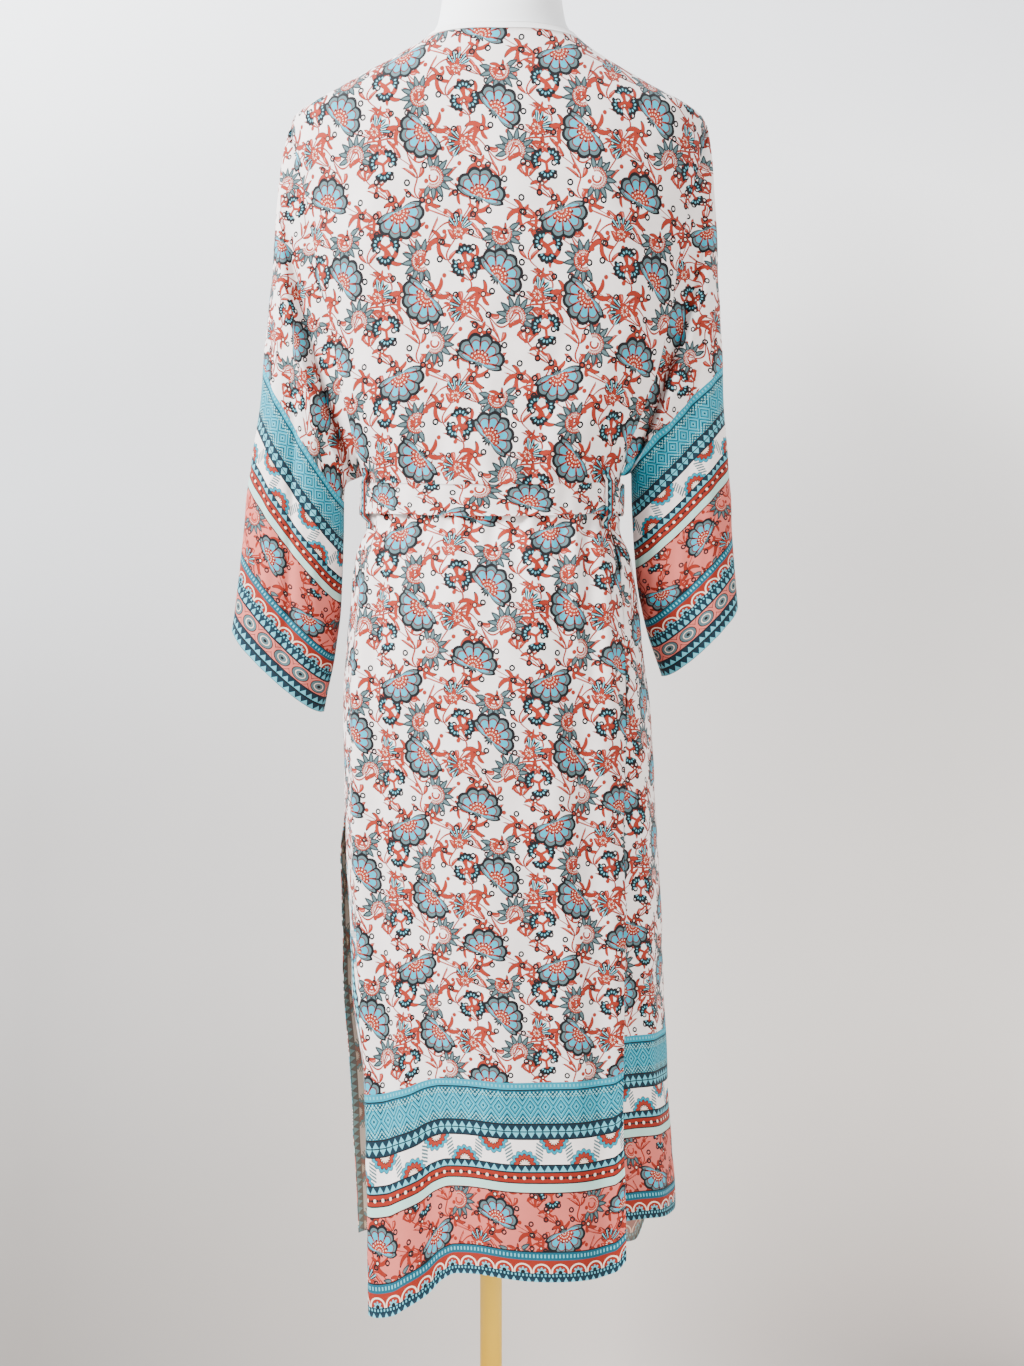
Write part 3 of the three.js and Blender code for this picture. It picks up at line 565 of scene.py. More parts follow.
def vine(colour, u, v, spacing, phase, tone):
    """A thin winding stem with pointed leaves to both sides of it."""
    wide_sway = calc("SINE", v * (2 * math.pi / 62.5) + phase) * 9
    sway = wide_sway + calc("SINE", v * (2 * math.pi / 31.25) + phase) * 3
    across = calc("FLOORED_MODULO", u + sway, spacing) - spacing / 2
    colour = paint(colour, tone, calc("ABSOLUTE", across) < 0.8)
    up = calc("FLOORED_MODULO", v, 15.625) - 7.8
    near = calc("ABSOLUTE", across)
    lean = up - near * 0.9
    leaf = (near - 5.2) * (near - 5.2) / 16 + lean * lean / 4.4
    colour = paint(colour, CHARCOAL, (leaf < 1.35) * (lean < 0))
    colour = paint(colour, tone, leaf < 1)
    return paint(colour, PINK, (leaf < 0.3) * (lean > 0))


def scattered(u, v, cell, count, seed):
    """Where a small thing is in each cell, placed unevenly but the same in each repeat, with two
    numbers from 0 to 1 that pick what it is."""
    tree = u.socket.id_data
    column = calc("FLOOR", u / cell[0])
    row = calc("FLOOR", v / cell[1])
    key = add(
        tree, "ShaderNodeCombineXYZ", calc("FLOORED_MODULO", column, count[0]),
        calc("FLOORED_MODULO", row, count[1]), seed,
    ).outputs[0]
    noise = add(tree, "ShaderNodeTexWhiteNoise", key, noise_dimensions="3D")
    pick = Number(noise.outputs["Value"])
    spread = add(tree, "ShaderNodeSeparateColor", noise.outputs["Color"])
    x = u - (column + 0.5) * cell[0] - (Number(spread.outputs[0]) - 0.5) * (cell[0] * 0.45)
    y = v - (row + 0.5) * cell[1] - (Number(spread.outputs[1]) - 0.5) * (cell[1] * 0.45)
    return x, y, pick, Number(spread.outputs[2])


def build_print():
    """The printed cloth as a node group. Its place on the flat cloth comes from the UV map: metres
    across, and metres up from the hem."""
    tree = bpy.data.node_groups.new("cloth_print", "ShaderNodeTree")
    tree.interface.new_socket("Color", in_out="OUTPUT", socket_type="NodeSocketColor")
    uv = add(tree, "ShaderNodeUVMap", uv_map="flat_cloth").outputs[0]
    parts = add(tree, "ShaderNodeSeparateXYZ", uv)
    u = Number(parts.outputs[0]) * 1000
    v = Number(parts.outputs[1]) * 1000

    # Ground, and the border's flat bands from the hem up
    level = (v + 40) / 240
    band_edges = [
        (-40, NAVY), (-32, NAVY), (-22, PINK), (-4, NAVY), (8, BRICK), (20, DEEP_TEAL), (28, PINK),
        (83, MINT), (92, BRICK), (102, NAVY), (109, GROUND), (133, NAVY), (147, DEEP_TEAL),
        (179, TURQUOISE), (186, GROUND),
    ]
    colour = bands(level, [((edge + 40) / 240, tone) for edge, tone in band_edges])
    flowered = calc("MAXIMUM", v > 186, (v > 28) * (v < 83))

    # The all-over flowers, in repeats of 137 by 125 mm with four of each large motif
    stem = paint(CORAL, BRICK, v < 100)
    flowers = paint(GROUND, PINK, v < 100)
    flowers = vine(flowers, u, v, 68.5, 0.0, stem)
    flowers = vine(flowers, v, u * (62.5 / 68.5), 62.5, 1.3, stem)
    flowers = vine(flowers, u + v * (68.5 / 62.5) + 30, v, 68.5, 2.6, stem)
    x, y, pick, other = scattered(u, v, (13.7, 12.5), (10, 10), 3.0)
    far = calc("SQRT", x * x + y * y)
    rings = (calc("ABSOLUTE", far - 2.0) < 0.75) * (pick < 0.55)
    dots = (far < 1.9) * (pick > 0.58)
    x, y, pick, other = scattered(u, v, (34.25, 31.25), (4, 4), 8.0)
    flowers = star_leaf(flowers, x, y, pick * 6.283, 1.0, stem, other < 0.85)
    x, y, pick, other = scattered(u + 17, v + 15, (34.25, 31.25), (4, 4), 21.0)
    flowers = star_leaf(flowers, x, y, pick * 6.283, 0.72, stem, other < 0.8)
    flowers = paint(flowers, CHARCOAL, rings)
    flowers = paint(flowers, stem, dots)
    cell = (68.5, 62.5)
    x, y, odd_x, odd_y = lattice(u, v, cell, (-0.75, 53.25), (0.0, 7.0))
    turn = odd_x * 3.8 + odd_y * 1.9 + 0.8
    flowers = thistle(flowers, x, y, turn, 1.0, calc("MAXIMUM", odd_x, calc("LESS_THAN", odd_y, 0.5)))
    x, y, odd_x, odd_y = lattice(u, v, cell, (26.25, 76.25), (6.0, 9.5))
    flowers = rays(flowers, x, y, odd_x * 1.6 + odd_y * 2.9 + 0.1, 1.0)
    x, y, odd_x, odd_y = lattice(u, v, cell, (-5.75, 81.25), (0.0, 6.0))
    shown = calc("MAXIMUM", calc("LESS_THAN", odd_x, 0.5), odd_y)
    flowers = cluster(flowers, x, y, odd_x * 0.9 + odd_y * 2.3 + 0.9, 1.0, shown)
    x, y, odd_x, odd_y = lattice(u, v, cell, (40.25, 43.25), (8.0, 11.0))
    turn = odd_x * math.pi - odd_y * 0.44 - odd_x * odd_y * 0.7 + 0.79
    flowers = fan(flowers, x, y, turn, 1.0)
    colour = paint(colour, flowers, flowered)

    # The border's small repeats
    def saw(low, high):
        return (v - low) / (high - low)

    def within(low, high):
        return (v > low) * (v < high)

    peak = calc("ABSOLUTE", calc("FLOORED_MODULO", u, 7.6) / 3.8 - 1)
    zigzag = (peak > saw(102.8, 108.4)) * within(102.8, 108.4)
    zigzag = calc("MAXIMUM", zigzag, calc("ABSOLUTE", v - 140) < peak * 5.6)
    zigzag = calc("MAXIMUM", zigzag, (peak > saw(-38.6, -32.8)) * within(-38.6, -32.8))
    zigzag = calc("MAXIMUM", zigzag, (peak > saw(-29.8, -24.0)) * within(-29.8, -24.0))
    zigzag = calc("MAXIMUM", zigzag, (peak > saw(-2.5, 4)) * within(-2.5, 4) * (peak > 0.35))
    colour = paint(colour, PALE_BLUE, zigzag)
    tick = calc("ABSOLUTE", calc("FLOORED_MODULO", u, 3.8) - 1.9) < 0.8
    ticks = calc("MAXIMUM", within(22.4, 25.6), calc("MAXIMUM", within(181.5, 184), within(5, 7)))
    colour = paint(colour, PALE_BLUE, tick * ticks)

    # Red bands: dots and small leaves above, arches and small flowers below
    bead_x = calc("FLOORED_MODULO", u, 9.2) - 4.6
    bead_y = v - 97
    colour = paint(colour, CREAM, bead_x * bead_x + bead_y * bead_y < 2.6)
    leaf_x = calc("ABSOLUTE", calc("FLOORED_MODULO", u + 4.6, 9.2) - 4.6) - 1.7
    colour = paint(colour, CHARCOAL, leaf_x * leaf_x * 0.6 + bead_y * bead_y * 1.4 < 1.5)
    arch_x = calc("FLOORED_MODULO", u, 19) - 9.5
    arch_y = v - 9
    arch = calc("SQRT", arch_x * arch_x * 0.75 + arch_y * arch_y)
    colour = paint(colour, CREAM, (calc("ABSOLUTE", arch - 7.4) < 0.7) * within(8, 20))
    arch_flower = arch < wave_of(calc("ARCTAN2", arch_x, arch_y), 7) * 2.5 + 2.2
    colour = paint(colour, PALE_BLUE, arch_flower * within(8, 20))
    colour = paint(colour, CHARCOAL, (arch < 1.9) * within(8, 20))

    # White band: half-round flowers by turns from its lower and upper edge, feather leaves between
    side_x = calc("FLOORED_MODULO", u, 30) - 15
    odd = calc("FLOOR", calc("FLOORED_MODULO", u, 60) / 30)
    side_y = calc("ABSOLUTE", v - 109 - odd * 24)
    reach = calc("SQRT", side_x * side_x + side_y * side_y)
    way = calc("ARCTAN2", side_x, side_y)
    lobes = wave_of(way, 13)
    flower = bands(
        (reach - lobes * 2.2) / 16,
        [(0.0, CREAM), (0.2, CHARCOAL), (0.27, CORAL), (0.52, CHARCOAL), (0.57, TURQUOISE),
         (0.74, CHARCOAL), (0.78, GROUND)],
    )
    feather_x = calc("ABSOLUTE", side_x) - 15
    barb = calc("ABSOLUTE", calc("FLOORED_MODULO", side_y + feather_x * 0.7, 3.4) - 1.7)
    feather = (barb < 0.95) * (feather_x > side_y * 0.14 - 5.5)
    flower = paint(flower, GREY_BLUE, feather * (reach > 13.5) * (side_y < 21))
    colour = paint(colour, flower, within(109, 133))

    # Turquoise lace, and the medallions of the sleeves' pink band
    lace_x = calc("ABSOLUTE", calc("FLOORED_MODULO", u, 15.2) - 7.6)
    lace_y = calc("ABSOLUTE", v - 163)
    lozenge = lace_x * 1.35 + lace_y
    lines = calc("ABSOLUTE", calc("FLOORED_MODULO", lozenge, 5.2) - 2.6) < 0.6
    colour = paint(colour, TURQUOISE, within(147, 179) * (lozenge < 15.5))
    colour = paint(colour, PALE_BLUE, lines * within(149, 177))
    dark = calc("ABSOLUTE", calc("FLOORED_MODULO", lozenge + 1.6, 5.2) - 2.6) < 0.6
    colour = paint(colour, NAVY, dark * within(149, 177))
    rising = calc("ABSOLUTE", calc("FLOORED_MODULO", u + v, 3.8) - 1.9)
    knots = rising + calc("ABSOLUTE", calc("FLOORED_MODULO", u - v, 3.8) - 1.9) < 1.0
    colour = paint(colour, MINT, knots * within(148, 178) * (lace_y > 9))
    coin_x = calc("FLOORED_MODULO", u, 24) - 12
    coin_y = v + 13
    coin = calc("SQRT", coin_x * coin_x * 0.55 + coin_y * coin_y)
    medal = bands(
        coin / 12,
        [(0.0, CHARCOAL), (0.12, GREY_BLUE), (0.3, CREAM), (0.36, GREY_BLUE), (0.55, CHARCOAL),
         (0.61, PINK), (0.78, CHARCOAL), (0.82, PINK)],
    )
    colour = paint(colour, medal, within(-21, -5))

    # Thin dark lines between the bands
    edges = None
    for edge in (28, 83, 92, 102, 109, 133, 140, 147, 179, -22, -31, -4):
        line = calc("ABSOLUTE", v - edge) < 0.55
        edges = line if edges is None else calc("MAXIMUM", edges, line)
    colour = paint(colour, CHARCOAL, edges)
    output = tree.nodes.new("NodeGroupOutput")
    tree.links.new(colour, output.inputs[0])
    return tree


THREAD = 0.7  # from one thread of the weave to the next, in mm, twice the real one so that it shows
CRINKLE = 14  # across one soft crinkle of the washed cloth, in mm


def material(name):
    """A new material's nodes and its surface."""
    made = bpy.data.materials.new(name)
    made.use_nodes = True
    return made.node_tree, made.node_tree.nodes["Principled BSDF"]


def unevenness(tree, at, size, detail=2.0):
    """Soft unevenness from 0 to 1 with features of about this size in mm, on a place in metres."""
    named = {"Vector": at, "Scale": 1000 / size, "Detail": detail}
    return Number(add(tree, "ShaderNodeTexNoise", named=named).outputs[0])


def finish(tree, surface, colour, roughness, height, depth, **inputs):
    """Joins a surface to its colour and roughness and to a relief that is depth mm high."""
    named = {"Height": height, "Strength": 0.6, "Distance": depth / 1000}
    join(surface.inputs["Normal"], add(tree, "ShaderNodeBump", named=named).outputs[0])
    join(surface.inputs["Base Color"], colour)
    join(surface.inputs["Roughness"], roughness)
    for name, value in inputs.items():
        join(surface.inputs[name.replace("_", " ")], value)


def weave(tree):
    """Crossing threads with soft crinkles over them: the height of both, and of the crinkles."""
    at = add(tree, "ShaderNodeUVMap", uv_map="flat_cloth").outputs[0]
    parts = add(tree, "ShaderNodeSeparateXYZ", at)
    turn = 1000 * 2 * math.pi / THREAD
    across = calc("SINE", Number(parts.outputs[0]) * turn)
    up = calc("SINE", Number(parts.outputs[1]) * turn)
    crinkle = unevenness(tree, at, CRINKLE, 3.0)
    return across * up * 0.12 + crinkle, crinkle


def painted_shade_and_tone(tree, colour, amount, by):
    """A colour made up to amount darker where by is low: painted shade where by is the height of a relief,
    and an uneven tone where by is loose noise.
    """
    shade = by * amount + (1 - amount / 2)
    grey = add(tree, "ShaderNodeCombineXYZ", shade, shade, shade).outputs[0]
    inputs = [1.0, None, None, None, None, None, colour, grey]
    return add(tree, "ShaderNodeMix", *inputs, data_type="RGBA", blend_type="MULTIPLY").outputs[2]


def cloth(name, printed, fade):
    """Thin woven viscose: soft and nearly matt, with fine threads, washed crinkles with painted shade in
    their hollows, and hardly any sheen. fade is how much of the ground shows through the colours on the
    cloth's reverse."""
    tree, surface = material(name)
    height, crinkle = weave(tree)
    colour = linear("#f0edea")
    if printed:
        colour = add(tree, "ShaderNodeGroup", node_tree=printed).outputs[0]
    if fade:
        inputs = [fade, None, None, None, None, None, colour, GROUND]
        colour = add(tree, "ShaderNodeMix", *inputs, data_type="RGBA").outputs[2]
    # Painted shade: the colour is slightly darker in the low parts of the crinkles.
    colour = painted_shade_and_tone(tree, colour, 0.1, crinkle)
    gloss = {"Sheen_Weight": 0.03, "Sheen_Roughness": 0.5, "Specular_IOR_Level": 0.25}
    finish(tree, surface, colour, crinkle * 0.2 + 0.7, height, 0.5, **gloss)


def jersey():
    """White knitted jersey stretched over the form: even, matt and faintly soft at its edges."""
    tree, surface = material("form_cover")
    at = add(tree, "ShaderNodeNewGeometry").outputs["Position"]
    grain = unevenness(tree, at, 1.2, 3.0)
    colour = painted_shade_and_tone(tree, linear("#ffffff"), 0.03, unevenness(tree, at, 60))
    finish(tree, surface, colour, grain * 0.2 + 0.65, grain, 0.15, Sheen_Weight=0.1)


def yellow_paint():
    """Satin yellow paint on a metal tube, with a soft highlight and a slightly uneven coat."""
    tree, surface = material("pole_paint")
    at = add(tree, "ShaderNodeNewGeometry").outputs["Position"]
    grain = unevenness(tree, at, 4, 3.0)
    colour = painted_shade_and_tone(tree, linear("#e3bb3c"), 0.08, unevenness(tree, at, 45))
    finish(tree, surface, colour, grain * 0.2 + 0.32, grain, 0.06)


def plaster():
    """Painted plaster: matt and faintly uneven, with painted light up on the left, painted shade towards the
    floor and faint painted shade in the hollows of its trowelled relief.
    """
    tree, surface = material("wall")
    at = add(tree, "ShaderNodeNewGeometry").outputs["Position"]
    parts = add(tree, "ShaderNodeSeparateXYZ", at)
    up = Number(parts.outputs[2]) / 1.7
    # The wall's tone with painted light and shade: darker towards the floor and lightest up on the left.
    left_lit_tones = ("#958f8a", "#aba8a6", "#c8c9cb", "#fbfdff")
    right_lit_tones = ("#ddd5cf", "#fcf8f3", "#f4f3f1", "#e2e3e7")
    left_stops = list(zip((0.0, 0.35, 0.65, 1.0), map(linear, left_lit_tones)))
    right_stops = list(zip((0.0, 0.3, 0.7, 1.0), map(linear, right_lit_tones)))
    left = add(tree, "ShaderNodeValToRGB", up, stops=left_stops)
    right = add(tree, "ShaderNodeValToRGB", up, stops=right_stops)
    left.color_ramp.interpolation = "EASE"
    right.color_ramp.interpolation = "EASE"
    to_right = calc("MAXIMUM", Number(parts.outputs[0]) * 0.9 + 0.5, 0.0)
    tone = paint(left.outputs[0], right.outputs[0], calc("SMOOTH_MIN", to_right, 1.0, 0.2))
    trowelled = unevenness(tree, at, 90, 4.0)
    # Painted shade: the plaster is faintly darker in the hollows of the trowelled relief.
    finish(tree, surface, painted_shade_and_tone(tree, tone, 0.03, trowelled), trowelled * 0.1 + 0.9, trowelled, 0.8)


printed = build_print()
cloth("cloth", printed, 0.0)
cloth("cloth_inside", printed, 0.25)
cloth("plain_cloth", None, 0.0)  # the neckband
jersey()
yellow_paint()
plaster()


# The robe

def panel_grid(columns, rows, edges, top, hem, out):
    """A panel's heights, angles and distance run along each row, with rows from the top edge to the
    hem and columns between its two edges."""
    u = np.linspace(0, 1, columns + 1)
    low_from, low_to = edges(np.array(250.0))
    top_from, top_to = edges(np.array(1451.0))
    hem_z = hem(mix(low_from, low_to, u))
    top_z = top(mix(top_from, top_to, u)) - NECKBAND_WIDTH
    t = np.linspace(0, 1, rows + 1)[:, None]
    upper = mix(top_z, 640.0, t / 0.66)
    lower = mix(640.0, hem_z, (t - 0.66) / 0.34)
    z = np.where(t < 0.66, upper, lower)
    start, end = edges(z)
    angle = mix(start, end, u[None, :])
    grid = body_point(angle, z, out(angle, z))
    steps = np.linalg.norm(np.diff(grid, axis=1), axis=2)
    run = np.concatenate([np.zeros((rows + 1, 1)), np.cumsum(steps, axis=1)], axis=1)
    return z, angle, run


def creased_panel(z, angle, run, out, creases, centre_angle, hem_level):
    """The panel's points with its creases, and their places on the flat cloth. Across is measured
    along each row from the column at centre_angle, and up from the hem's usual level."""
    order = 1 if angle[0, 0] < angle[0, -1] else -1
    middle = [np.interp(centre_angle, a[::order], r[::order]) for a, r in zip(angle, run)]
    across = run - np.array(middle)[:, None]
    extra = 1.6 * crease(creases, across, z) + ripple(across, z)
    gathers = np.sin(across / 3.6 + np.sin(z / 40)) * np.exp(-np.maximum(978 - z, 0) / 55)
    blouse = np.sin(across / 4.6 + 1) * np.exp(-np.maximum(z - 1018, 0) / 40)
    extra = extra + 2.2 * gathers * (z < 985) + 1.2 * blouse * (z > 1010)
    extra = extra * (ease(z, 1440, 1380) * 0.85 + 0.15)
    grid = body_point(angle, z, out(angle, z) + extra)
    hem_z = z[-1][None, :]
    stretch = (600.0 - hem_level) / (600.0 - hem_z)
    v = np.where(z < 600, (z - hem_z) * stretch, z - hem_level)
    # The print is larger towards the shoulders
    v = np.where(v > 190, 190 + (v - 190) / (1 + PRINT_GROWTH * np.maximum(v - 190, 0) / 2), v)
    wide = 0.93 + 0.21 * np.clip(v / 900, 0, 1)
    return grid, np.stack([across / wide, v], axis=-1)


def robe():
    # Back: columns run from the right side to the left side
    def edges(z):
        return side["back_right"](z) + SEAM_ANGLE, side["back_left"](z) - SEAM_ANGLE

    hem = track(BACK_HEM["angle"], BACK_HEM["z"])
    z, angle, run = panel_grid(150, 290, edges, neck_height, hem, back_out)
    grid, uv = creased_panel(z, angle, run, back_out, BACK_CREASES, 90, 256)
    uv[..., 0] *= -1
    from_edge = run[:, -1:] - run
    turned_in = 24 * (1 - ease(z, 500, 640))
    from_fold = np.abs(from_edge - turned_in)
    strip_uv = np.stack([np.broadcast_to(z, from_fold.shape), 102.4 + from_fold * 0.85], axis=-1)
    mask = (from_edge - turned_in)[:-1, :-1] < 34
    mask &= z[:-1, :-1] < SLIT_TOP + 8
    back = shell("back_panel_cloth", "back_panel", grid, uv, strip=(strip_uv, mask))

    # Fronts
    def left_edges(z):
        return front_left_side(z) + SEAM_ANGLE, front_edge["left"](z)

    def right_edges(z):
        return front_edge["right"](z), front_right_side(z) - SEAM_ANGLE

    def top(angle):
        return np.full_like(angle, 1458.0)

    hem = track(LEFT_FRONT_HEM["angle"], LEFT_FRONT_HEM["z"])
    z, angle, run = panel_grid(90, 230, left_edges, top, hem, left_front_out)
    grid, uv = creased_panel(z, angle, run, left_front_out, [], 225, 250)
    strip_v = 102.4 + np.where(run < 11, run * 0.6, run - 4.4)
    strip_uv = np.stack([np.broadcast_to(z, run.shape), strip_v], axis=-1)
    mask = (run[:-1, 1:] < 34) & (z[:-1, :-1] < SLIT_TOP + 8)
    left = shell("front_left_cloth", "front_left", grid, uv, strip=(strip_uv, mask))
    hem = track(RIGHT_FRONT_HEM["angle"], RIGHT_FRONT_HEM["z"])
    z, angle, run = panel_grid(100, 230, right_edges, top, hem, right_front_out)
    grid, uv = creased_panel(z, angle, run, right_front_out, [], 315, 285)
    right = shell("front_right_cloth", "front_right", grid, uv)


def armhole_point(mirror, back, z, under):
    """A point beside the armhole's edge, or just inside the panels, under that edge."""
    angle = (side["back_right"](z) if mirror > 0 else side["back_left"](z)) + mirror * under * 1.6
    front = (front_right_side(z) if mirror > 0 else front_left_side(z)) - mirror * under * 1.6
    front_out = right_front_out(front, z) if mirror > 0 else left_front_out(front, z)
    back_side = body_point(angle, z, back_out(angle, z) - under * 1.7)
    front_side = body_point(front, z, front_out - under * 1.7)
    p = np.where(back[..., None], back_side, front_side)
    p[..., 0] += mirror * 1.1 * (1 - under)
    return p


def sleeve(table, mirror, creases, border_stretch):
    stations = np.linspace(0, 1, len(table))
    along = {name: track(stations, [row[i] for row in table]) for i, name in enumerate(SLEEVE_COLUMNS)}
    around, rows = 130, 170
    t = np.linspace(0, 1, rows + 1)[:, None]
    turn = (np.arange(around) / around * 2 * math.pi)[None, :]
    if mirror < 0:
        turn = turn[:, ::-1]
    c, s = np.cos(turn), np.sin(turn)
    share = (1 + c) / 2
    low = 1 - share
    bow = mirror * SLEEVE_BOW * np.abs(s) * (1 - t)
    x = mix(along["inner_x"](t), along["outer_x"](t), share) + bow
    z = mix(along["inner_z"](t), along["outer_z"](t), share) - CUFF_SAG * np.abs(s) * t
    groove = 1.5 * np.exp(-(((t - 0.15) / 0.085) ** 2)) * (s > 0)
    crest = np.exp(-(((t - 0.3) / 0.12) ** 2))
    bulge = along["bulge"](t) * np.abs(s) ** 0.9 + low * np.abs(s) * (7 * crest - 20 * groove)
    free = np.stack(np.broadcast_arrays(x, along["middle_y"](t) - np.sign(s) * bulge, z), axis=-1)
    height = mix(UNDERARM, SHOULDER_TIP, share)
    on_back = np.broadcast_to(s >= 0, height.shape)
    grid = mix(armhole_point(mirror, on_back, height, 0), free, ease(t, -0.04, 0.12)[..., None])
    away = ease(height, SHOULDER_TIP, SHOULDER_TIP - 40) * ease(height, UNDERARM, UNDERARM + 40)
    grid[0] = mix(grid[0], armhole_point(mirror, on_back, height, 1.0), away[..., None])[0]
    # Places on the flat cloth. Near the cuff the print follows its edge, and further up it runs
    # straight, along and across the cut sleeve.
    steps = np.linalg.norm(np.diff(grid, axis=0), axis=2)
    down = np.concatenate([np.zeros((1, around)), np.cumsum(steps, axis=0)])
    cuff = np.array([along["outer_x"](1.0), along["outer_z"](1.0)])
    edge = np.array([along["inner_x"](1.0), along["inner_z"](1.0)]) - cuff
    edge /= np.linalg.norm(edge)
    from_cuff = grid[..., [0, 2]] - cuff
    straight_up = from_cuff @ np.array([mirror * edge[1], -mirror * edge[0]])
    straight_across = from_cuff @ edge
    up = straight_up - straight_up[-1:] * ease(t, 0.35, 1)
    border = 225 / mix(border_stretch[1], border_stretch[0], share)
    up = np.where(up < border, up * 225 / border, 225 + up - border)
    loop = np.concatenate([grid, grid[:, :1]], axis=1)
    loop_up = np.concatenate([up, up[:, :1]], axis=1)
    steps = np.linalg.norm(np.diff(loop, axis=1), axis=2)
    forward = np.maximum(steps**2 - np.diff(loop_up, axis=1) ** 2, 0.3 * steps**2)
    run = np.concatenate([np.zeros((rows + 1, 1)), np.cumsum(np.sqrt(forward), axis=1)], axis=1)

    def across_from(column):
        """Places across the cloth, in steps as long as the cloth's own from one column."""
        heading = np.sign(straight_across[:, column + 1] - straight_across[:, column - 1])[:, None]
        return straight_across[:, column : column + 1] + heading * (run - run[:, column : column + 1])

    back_column = around // 4 if mirror > 0 else around - around // 4 - 1
    uv = np.stack([across_from(back_column), loop_up - CUFF_BANDS], axis=-1)
    front_uv = np.stack([across_from(around - back_column), loop_up - CUFF_BANDS], axis=-1)
    in_front = np.sin(turn + mirror * math.pi / around) < 0
    front = (front_uv, np.broadcast_to(in_front, (rows, around)))
    across = (share - 0.5) * 180
    n = normals(grid, closed=True)
    wrinkle = crease(creases, np.broadcast_to(across, down.shape), np.broadcast_to(t * 500, down.shape))
    amount = (wrinkle + ripple(across, down)) * ease(t, 0.02, 0.15)
    grid = grid + n * amount[..., None]
    return grid, uv, front


LEFT_SLEEVE_CREASES = [
    ((20, 120), (-18, 480), 12, 2.4), ((-30, 90), (-50, 420), 10, -2.2), ((55, 60), (30, 470), 13, -2.0),
    ((-66, 130), (-40, 330), 9, 2.6), ((0, 260), (-6, 500), 7, 2.2),
]
RIGHT_SLEEVE_CREASES = [
    ((30, 110), (-8, 470), 12, 2.4), ((-24, 100), (-46, 440), 10, -2.2), ((58, 70), (36, 480), 12, -1.8),
    ((-62, 140), (-36, 340), 9, 2.6),
]


def belt_height(angle):
    return 1000 - 8 * np.maximum(np.sin(np.radians(angle)), 0) ** 2


def worn_out(angle, z):
    back = (angle > side["back_right"](z)) & (angle < side["back_left"](z))
    right = (angle > front_edge["right"](z) - 7) | (angle < side["back_right"](z))
    past = np.where(angle > 180, angle, angle + 360)
    front_out = np.where(right, right_front_out(past, z), left_front_out(angle, z))
    return np.where(back, back_out(angle, z), front_out)


def belt_point(angle, rise, clear):
    angle, rise, clear = np.broadcast_arrays(angle, rise, clear)
    middle = belt_height(angle)
    reach = 0.0
    for step in (-18, -12, -6, 0, 6, 12, 18):
        p = body_point(angle, middle + step, np.maximum(worn_out(angle, middle + step), -1))
        reach = np.maximum(reach, np.hypot(p[..., 0], p[..., 1]))
    p = body_point(angle, middle)
    size = (reach + clear) / np.hypot(p[..., 0], p[..., 1])
    return np.stack([p[..., 0] * size, p[..., 1] * size, middle + rise], axis=-1)


def belt_pieces():
    angle = (np.arange(240) / 240 * 360)[None, :]
    rise = np.linspace(15, -15, 13)[:, None]
    wrinkle = 0.5 * np.sin(np.radians(angle) * 23 + rise * 0.12) + 0.4 * np.sin(np.radians(angle) * 41)
    grid = belt_point(angle, rise, BELT_CLEAR + wrinkle)
    run = np.linspace(0, 730, 241)[None, :]
    uv = np.stack(np.broadcast_arrays(-run, 560 + rise[:, :1]), axis=-1)
    belt = shell("belt_cloth", "belt", grid, uv, wall=2.0, closed=True, materials=("cloth", "cloth"))

    for node, start, end in (("belt_loop_left", 159, 165), ("belt_loop_right", 28, 34)):
        stops = [30, 27, 24, 20.5, 17, 12, 6, 0, -6, -12, -17, -20.5, -24, -27, -30]
        angle = np.linspace(start, end, 9)[None, :]
        rise = np.array(stops, float)[:, None]
        z = belt_height(angle) + rise
        on_cloth = body_point(angle, z, worn_out(angle, z) + 3)
        over = belt_point(angle, rise, BELT_CLEAR + 2.5)
        grid = mix(over, on_cloth, ease(np.abs(rise), 17, 24)[..., None])
        uv = np.stack(np.broadcast_arrays(z, 105.4 + (angle - (start + end) / 2) * 2.1), axis=-1)
        shell(f"{node}_cloth", node, grid, uv, wall=1.0, materials=("cloth", "cloth"))
    for node, start, end, low in (("belt_tail_left", 254, 266, 640), ("belt_tail_right", 268, 280, 700)):
        share = np.linspace(0, 1, 61)[:, None]
        z = mix(971.0, low, share)
        angle = mix(float(start), float(end), np.linspace(0, 1, 11))[None, :] + 3 * share
        lift = 2.3 + 2 * share + 1.2 * np.sin(share * 14 * 0.9) * share
        grid = body_point(angle, z, right_front_out(angle, z) + lift)
        uv = np.stack(np.broadcast_arrays((angle - start) * 2.3, z - 200), axis=-1)
        shell(f"{node}_cloth", node, grid, uv, wall=1.4, materials=("cloth", "cloth"))


def knot():
    at = belt_point(np.array([270.0]), np.array([0.0]), BELT_CLEAR + 1.6)[0]
    rows, columns = 30, 48
    lat = np.linspace(0.02, math.pi - 0.02, rows + 1)[:, None]
    lon = (np.arange(columns) / columns * 2 * math.pi)[None, :]
    wrap = 1 + 0.05 * np.sin(lon * 2 + lat * 5) + 0.04 * np.cos(lat * 7)
    x = at[0] + 22 * np.sin(lat) * np.cos(lon) * wrap
    y = at[1] + 9.2 + 8.4 * np.sin(lat) * np.sin(-lon) * wrap
    z = at[2] + 23 * np.cos(lat) * wrap + 0 * lon
    grid = np.stack(np.broadcast_arrays(x, y, z), axis=-1)
    uv = np.stack(np.broadcast_arrays(np.linspace(0, 90, columns + 1)[None, :], 420 - lat * 18), axis=-1)
    obj = shell("belt_knot_cloth", "belt_knot", grid, uv, wall=1.4, closed=True, materials=("cloth", "cloth"))


